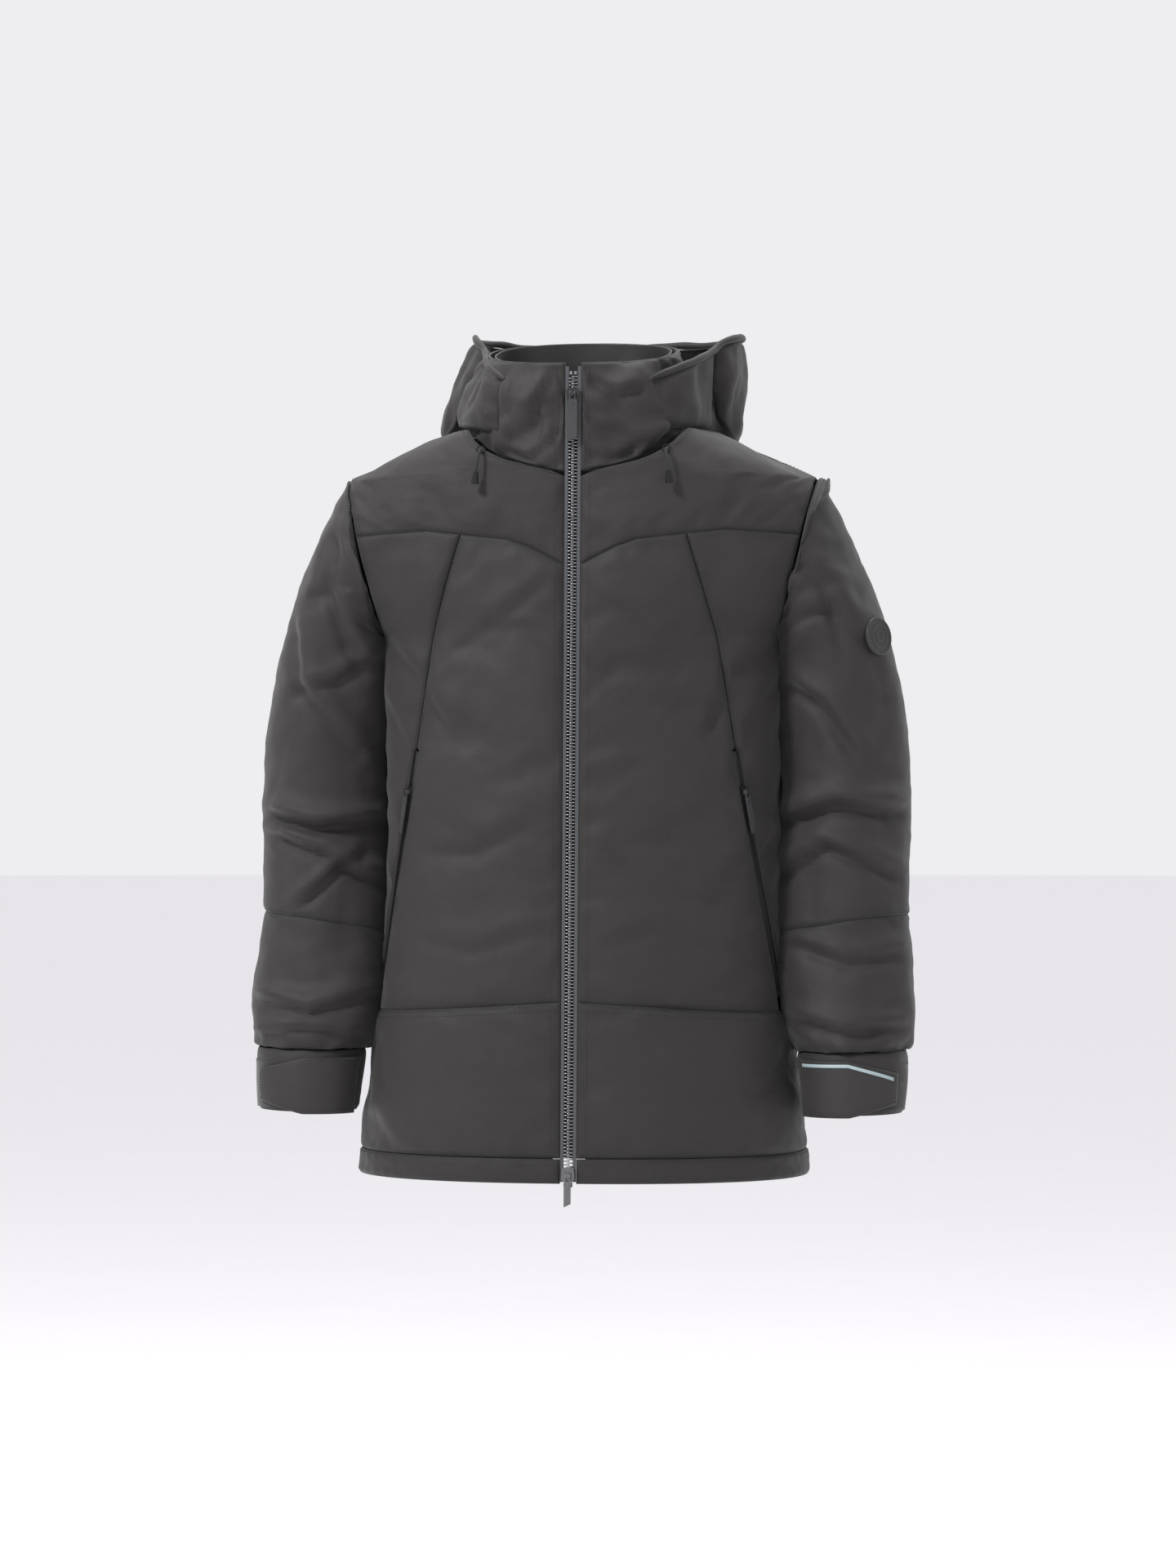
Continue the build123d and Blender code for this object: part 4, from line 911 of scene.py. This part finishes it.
# ---- badge ----------------------------------------------------------------------------------
low, high = (np.array(c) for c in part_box("arm_badge"))
middle = (low + high) / 2
outwards = middle - (np.array((225.0, 5.0, 505.0)) - ORIGIN) / 1000
outwards[2] = 0.12 * np.linalg.norm(outwards[:2])
outwards /= np.linalg.norm(outwards)
cloth = (PANELS["sleeve_upper_left_cloth"]["outside"].reshape(-1, 3) - ORIGIN) / 1000 - middle
away = np.linalg.norm(cloth - (cloth @ outwards)[:, None] * outwards, axis=1)
above = (cloth @ outwards)[(away < 0.016) & (cloth @ outwards > -0.03)]
middle = middle + outwards * (float(np.percentile(above, 88)) + 0.0006)
turned = Vector(outwards).to_track_quat("Z", "Y").to_matrix().to_4x4()
PROFILE = [(0, 1.1), (3.2, 1.1), (3.8, 1.7), (5.4, 1.7), (6.0, 1.0), (9.6, 1.0), (10.1, 1.5), (11.2, 1.5),
           (11.8, 1.0), (14.8, 0.9), (15.5, 1.6), (17.2, 1.5), (18.0, 0.7), (18.0, -1.1), (0, -1.1)]
points = [(0, 0, PROFILE[0][1])]
for r, h in PROFILE[1:-1]:
    points += [(r * cos(2 * pi * i / 64), r * sin(2 * pi * i / 64), h) for i in range(64)]
points.append((0, 0, -1.1))
faces = [(0, 1 + i, 1 + (i + 1) % 64) for i in range(64)]
for k in range(len(PROFILE) - 3):
    a = 1 + 64 * k
    faces += [(a + i, a + 64 + i, a + 64 + (i + 1) % 64, a + (i + 1) % 64) for i in range(64)]
last = len(points) - 1
faces += [(last, last - 64 + (i + 1) % 64, last - 64 + i) for i in range(64)]
mesh = new_mesh("badge_disc", np.array(points) / 1000, faces)
mesh.transform(Matrix.Translation(Vector(middle)) @ turned)
mesh.polygons.foreach_set("use_smooth", np.ones(len(faces), bool))
mesh.materials.append(LOOKS["badge"])
badge = bpy.data.objects.new("badge_disc", mesh)
bpy.context.scene.collection.objects.link(badge)
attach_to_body(badge, "shell")
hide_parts("arm_badge")

# ---- drawcord ends --------------------------------------------------------------------------
ROUTE = [(0.086, -0.144168, -0.061), (0.0862, -0.150168, -0.0607), (0.0868, -0.154668, -0.0655),
         (0.0878, -0.156668, -0.072), (0.0888, -0.157368, -0.079), (0.0894, -0.157568, -0.0862)]
for sign, word in ((1, "left"), (-1, "right")):
    data = bpy.data.curves.new(f"drawcord_{word}", "CURVE")
    data.dimensions = "3D"
    data.bevel_depth = 0.0013
    data.bevel_resolution = 4
    data.use_fill_caps = True
    spline = data.splines.new("NURBS")
    spline.points.add(len(ROUTE) - 1)
    for point, (x, y, z) in zip(spline.points, ROUTE):
        point.co = (sign * x, y, z, 1)
    spline.order_u = 3
    spline.use_endpoint_u = True
    data.materials.append(LOOKS["cord"])
    piece = bpy.data.objects.new(f"drawcord_{word}", data)
    bpy.context.scene.collection.objects.link(piece)
    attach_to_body(piece, f"hood_cord_{word}")
    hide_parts(f"hood_cord_{word}")

# ---- zip teeth ------------------------------------------------------------------------------
# Each tooth is a rounded, crowned block, so that it catches the light on its own.
TOOTH_PITCH, TOOTH_HALF, TOOTH_DEPTH = 3.2, 0.75, 1.5
CHAIN_LOW, CHAIN_HIGH, CHAIN_MID = 2, 744, 2.5
ALONG = np.array((0, 46.0, 754.0)) / np.hypot(46.0, 754.0)
INWARDS = np.array((0, 754.0, -46.0)) / np.hypot(46.0, 754.0)
# distance past the centre line, share of the half height, how far the crown has sunk
TOOTH_PLAN = [(-1.5, 0.45, 0.5), (-0.9, 0.9, 0.0), (0.6, 0.62, 0.1), (2.2, 0.85, 0.0), (3.4, 1.0, 0.1),
              (4.2, 0.9, 0.8)]
TOOTH_SIDES = 8
for sign, word, offset in ((1, "left", 0.4), (-1, "right", 0.4 + TOOTH_PITCH / 2)):
    points, faces = [], []
    z = CHAIN_LOW + offset
    while z + 2 * TOOTH_HALF < CHAIN_HIGH:
        first = len(points)
        for x, tall, sunk in TOOTH_PLAN:
            for turn in np.linspace(0, 2 * pi, TOOTH_SIDES, endpoint=False):
                depth = CHAIN_MID - (TOOTH_DEPTH - sunk) * sin(turn)
                up = z + TOOTH_HALF * (1 + tall * cos(turn))
                points.append(np.array((sign * x, -142, 0)) + INWARDS * depth + ALONG * up)
        faces += [tuple(f) for f in quads(len(TOOTH_PLAN), TOOTH_SIDES, True, sign > 0, first)]
        ends = tuple(range(first, first + TOOTH_SIDES)), tuple(range(len(points) - TOOTH_SIDES, len(points)))[::-1]
        faces += [end if sign > 0 else end[::-1] for end in ends]
        z += TOOTH_PITCH
    mesh = new_mesh(f"zip_chain_{word}", (np.array(points) - ORIGIN) / 1000, faces)
    mesh.polygons.foreach_set("use_smooth", np.ones(len(faces), bool))
    mesh.materials.append(LOOKS["teeth"])
    piece = bpy.data.objects.new(f"zip_chain_{word}", mesh)
    bpy.context.scene.collection.objects.link(piece)
    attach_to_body(piece, "shell")
    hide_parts(f"zip_teeth_{word}")

# ---- carried-over hard parts ----------------------------------------------------------------
KEPT = {"zip_end_stops": "teeth", "zip_tape": "tape", "pocket_zip": "lining",
        "zip_slider_top": "black_metal", "pocket_slider": "black_metal", "zip_pull_top": "pull_rubber",
        "pocket_pull": "pull_rubber", "zip_slider_bottom": "steel", "zip_pull_bottom": "steel",
        "hood_toggle": "plastic", "hood_eyelets": "plastic", "hang_loop": "cord"}
for node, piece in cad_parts.items():
    stem = node.replace("_left", "").replace("_right", "")
    look = KEPT.get(node) or KEPT.get(stem)
    if look:
        piece.data.materials.clear()
        piece.data.materials.append(LOOKS[look])

# ---- studio ---------------------------------------------------------------------------------
FLOOR_Z = -1.3
points = [(0, 0, FLOOR_Z)] + [(r * cos(2 * pi * i / 96), r * sin(2 * pi * i / 96), FLOOR_Z)
                              for r in (6, 40) for i in range(96)]
faces = [(0, 1 + i, 1 + (i + 1) % 96) for i in range(96)]
faces += [(1 + i, 97 + i, 97 + (i + 1) % 96, 1 + (i + 1) % 96) for i in range(96)]
floor = bpy.data.objects.new("studio_floor", new_mesh("studio_floor", points, faces))
floor.data.materials.append(LOOKS["studio"])
bpy.context.scene.collection.objects.link(floor)

TARGET = Vector((0.010, -0.11, -0.370))
DISTANCE = 4.0
AZIMUTH = radians(6)


def lamp(name, place, size, energy):
    data = bpy.data.lights.new(name, "AREA")
    data.shape = "DISK"
    data.size = size
    data.energy = energy
    piece = bpy.data.objects.new(name, data)
    piece.location = place
    piece.rotation_euler = (TARGET - Vector(place)).to_track_quat("-Z", "Y").to_euler()
    bpy.context.scene.collection.objects.link(piece)


lamp("key", (-1.7, -2.0, 2.1), 0.7, 100)
lamp("fill", (2.6, -2.0, 0.4), 1.6, 4)
lamp("top", (0.3, 0.6, 2.4), 1.4, 34)
world = bpy.data.worlds.new("soft studio")
world.use_nodes = True
world.node_tree.nodes["Background"].inputs["Color"].default_value = (0.93, 0.92, 0.94, 1)
world.node_tree.nodes["Background"].inputs["Strength"].default_value = 0.92
bpy.context.scene.world = world
bpy.context.scene.view_settings.view_transform = "Standard"

data = bpy.data.cameras.new("camera")
data.sensor_fit = "VERTICAL"
data.sensor_height = 36
data.lens = 98.7
camera = bpy.data.objects.new("camera", data)
camera.location = TARGET + DISTANCE * Vector((sin(AZIMUTH), -cos(AZIMUTH), 0))
camera.rotation_euler = (TARGET - camera.location).to_track_quat("-Z", "Y").to_euler()
bpy.context.scene.collection.objects.link(camera)
bpy.context.scene.camera = camera
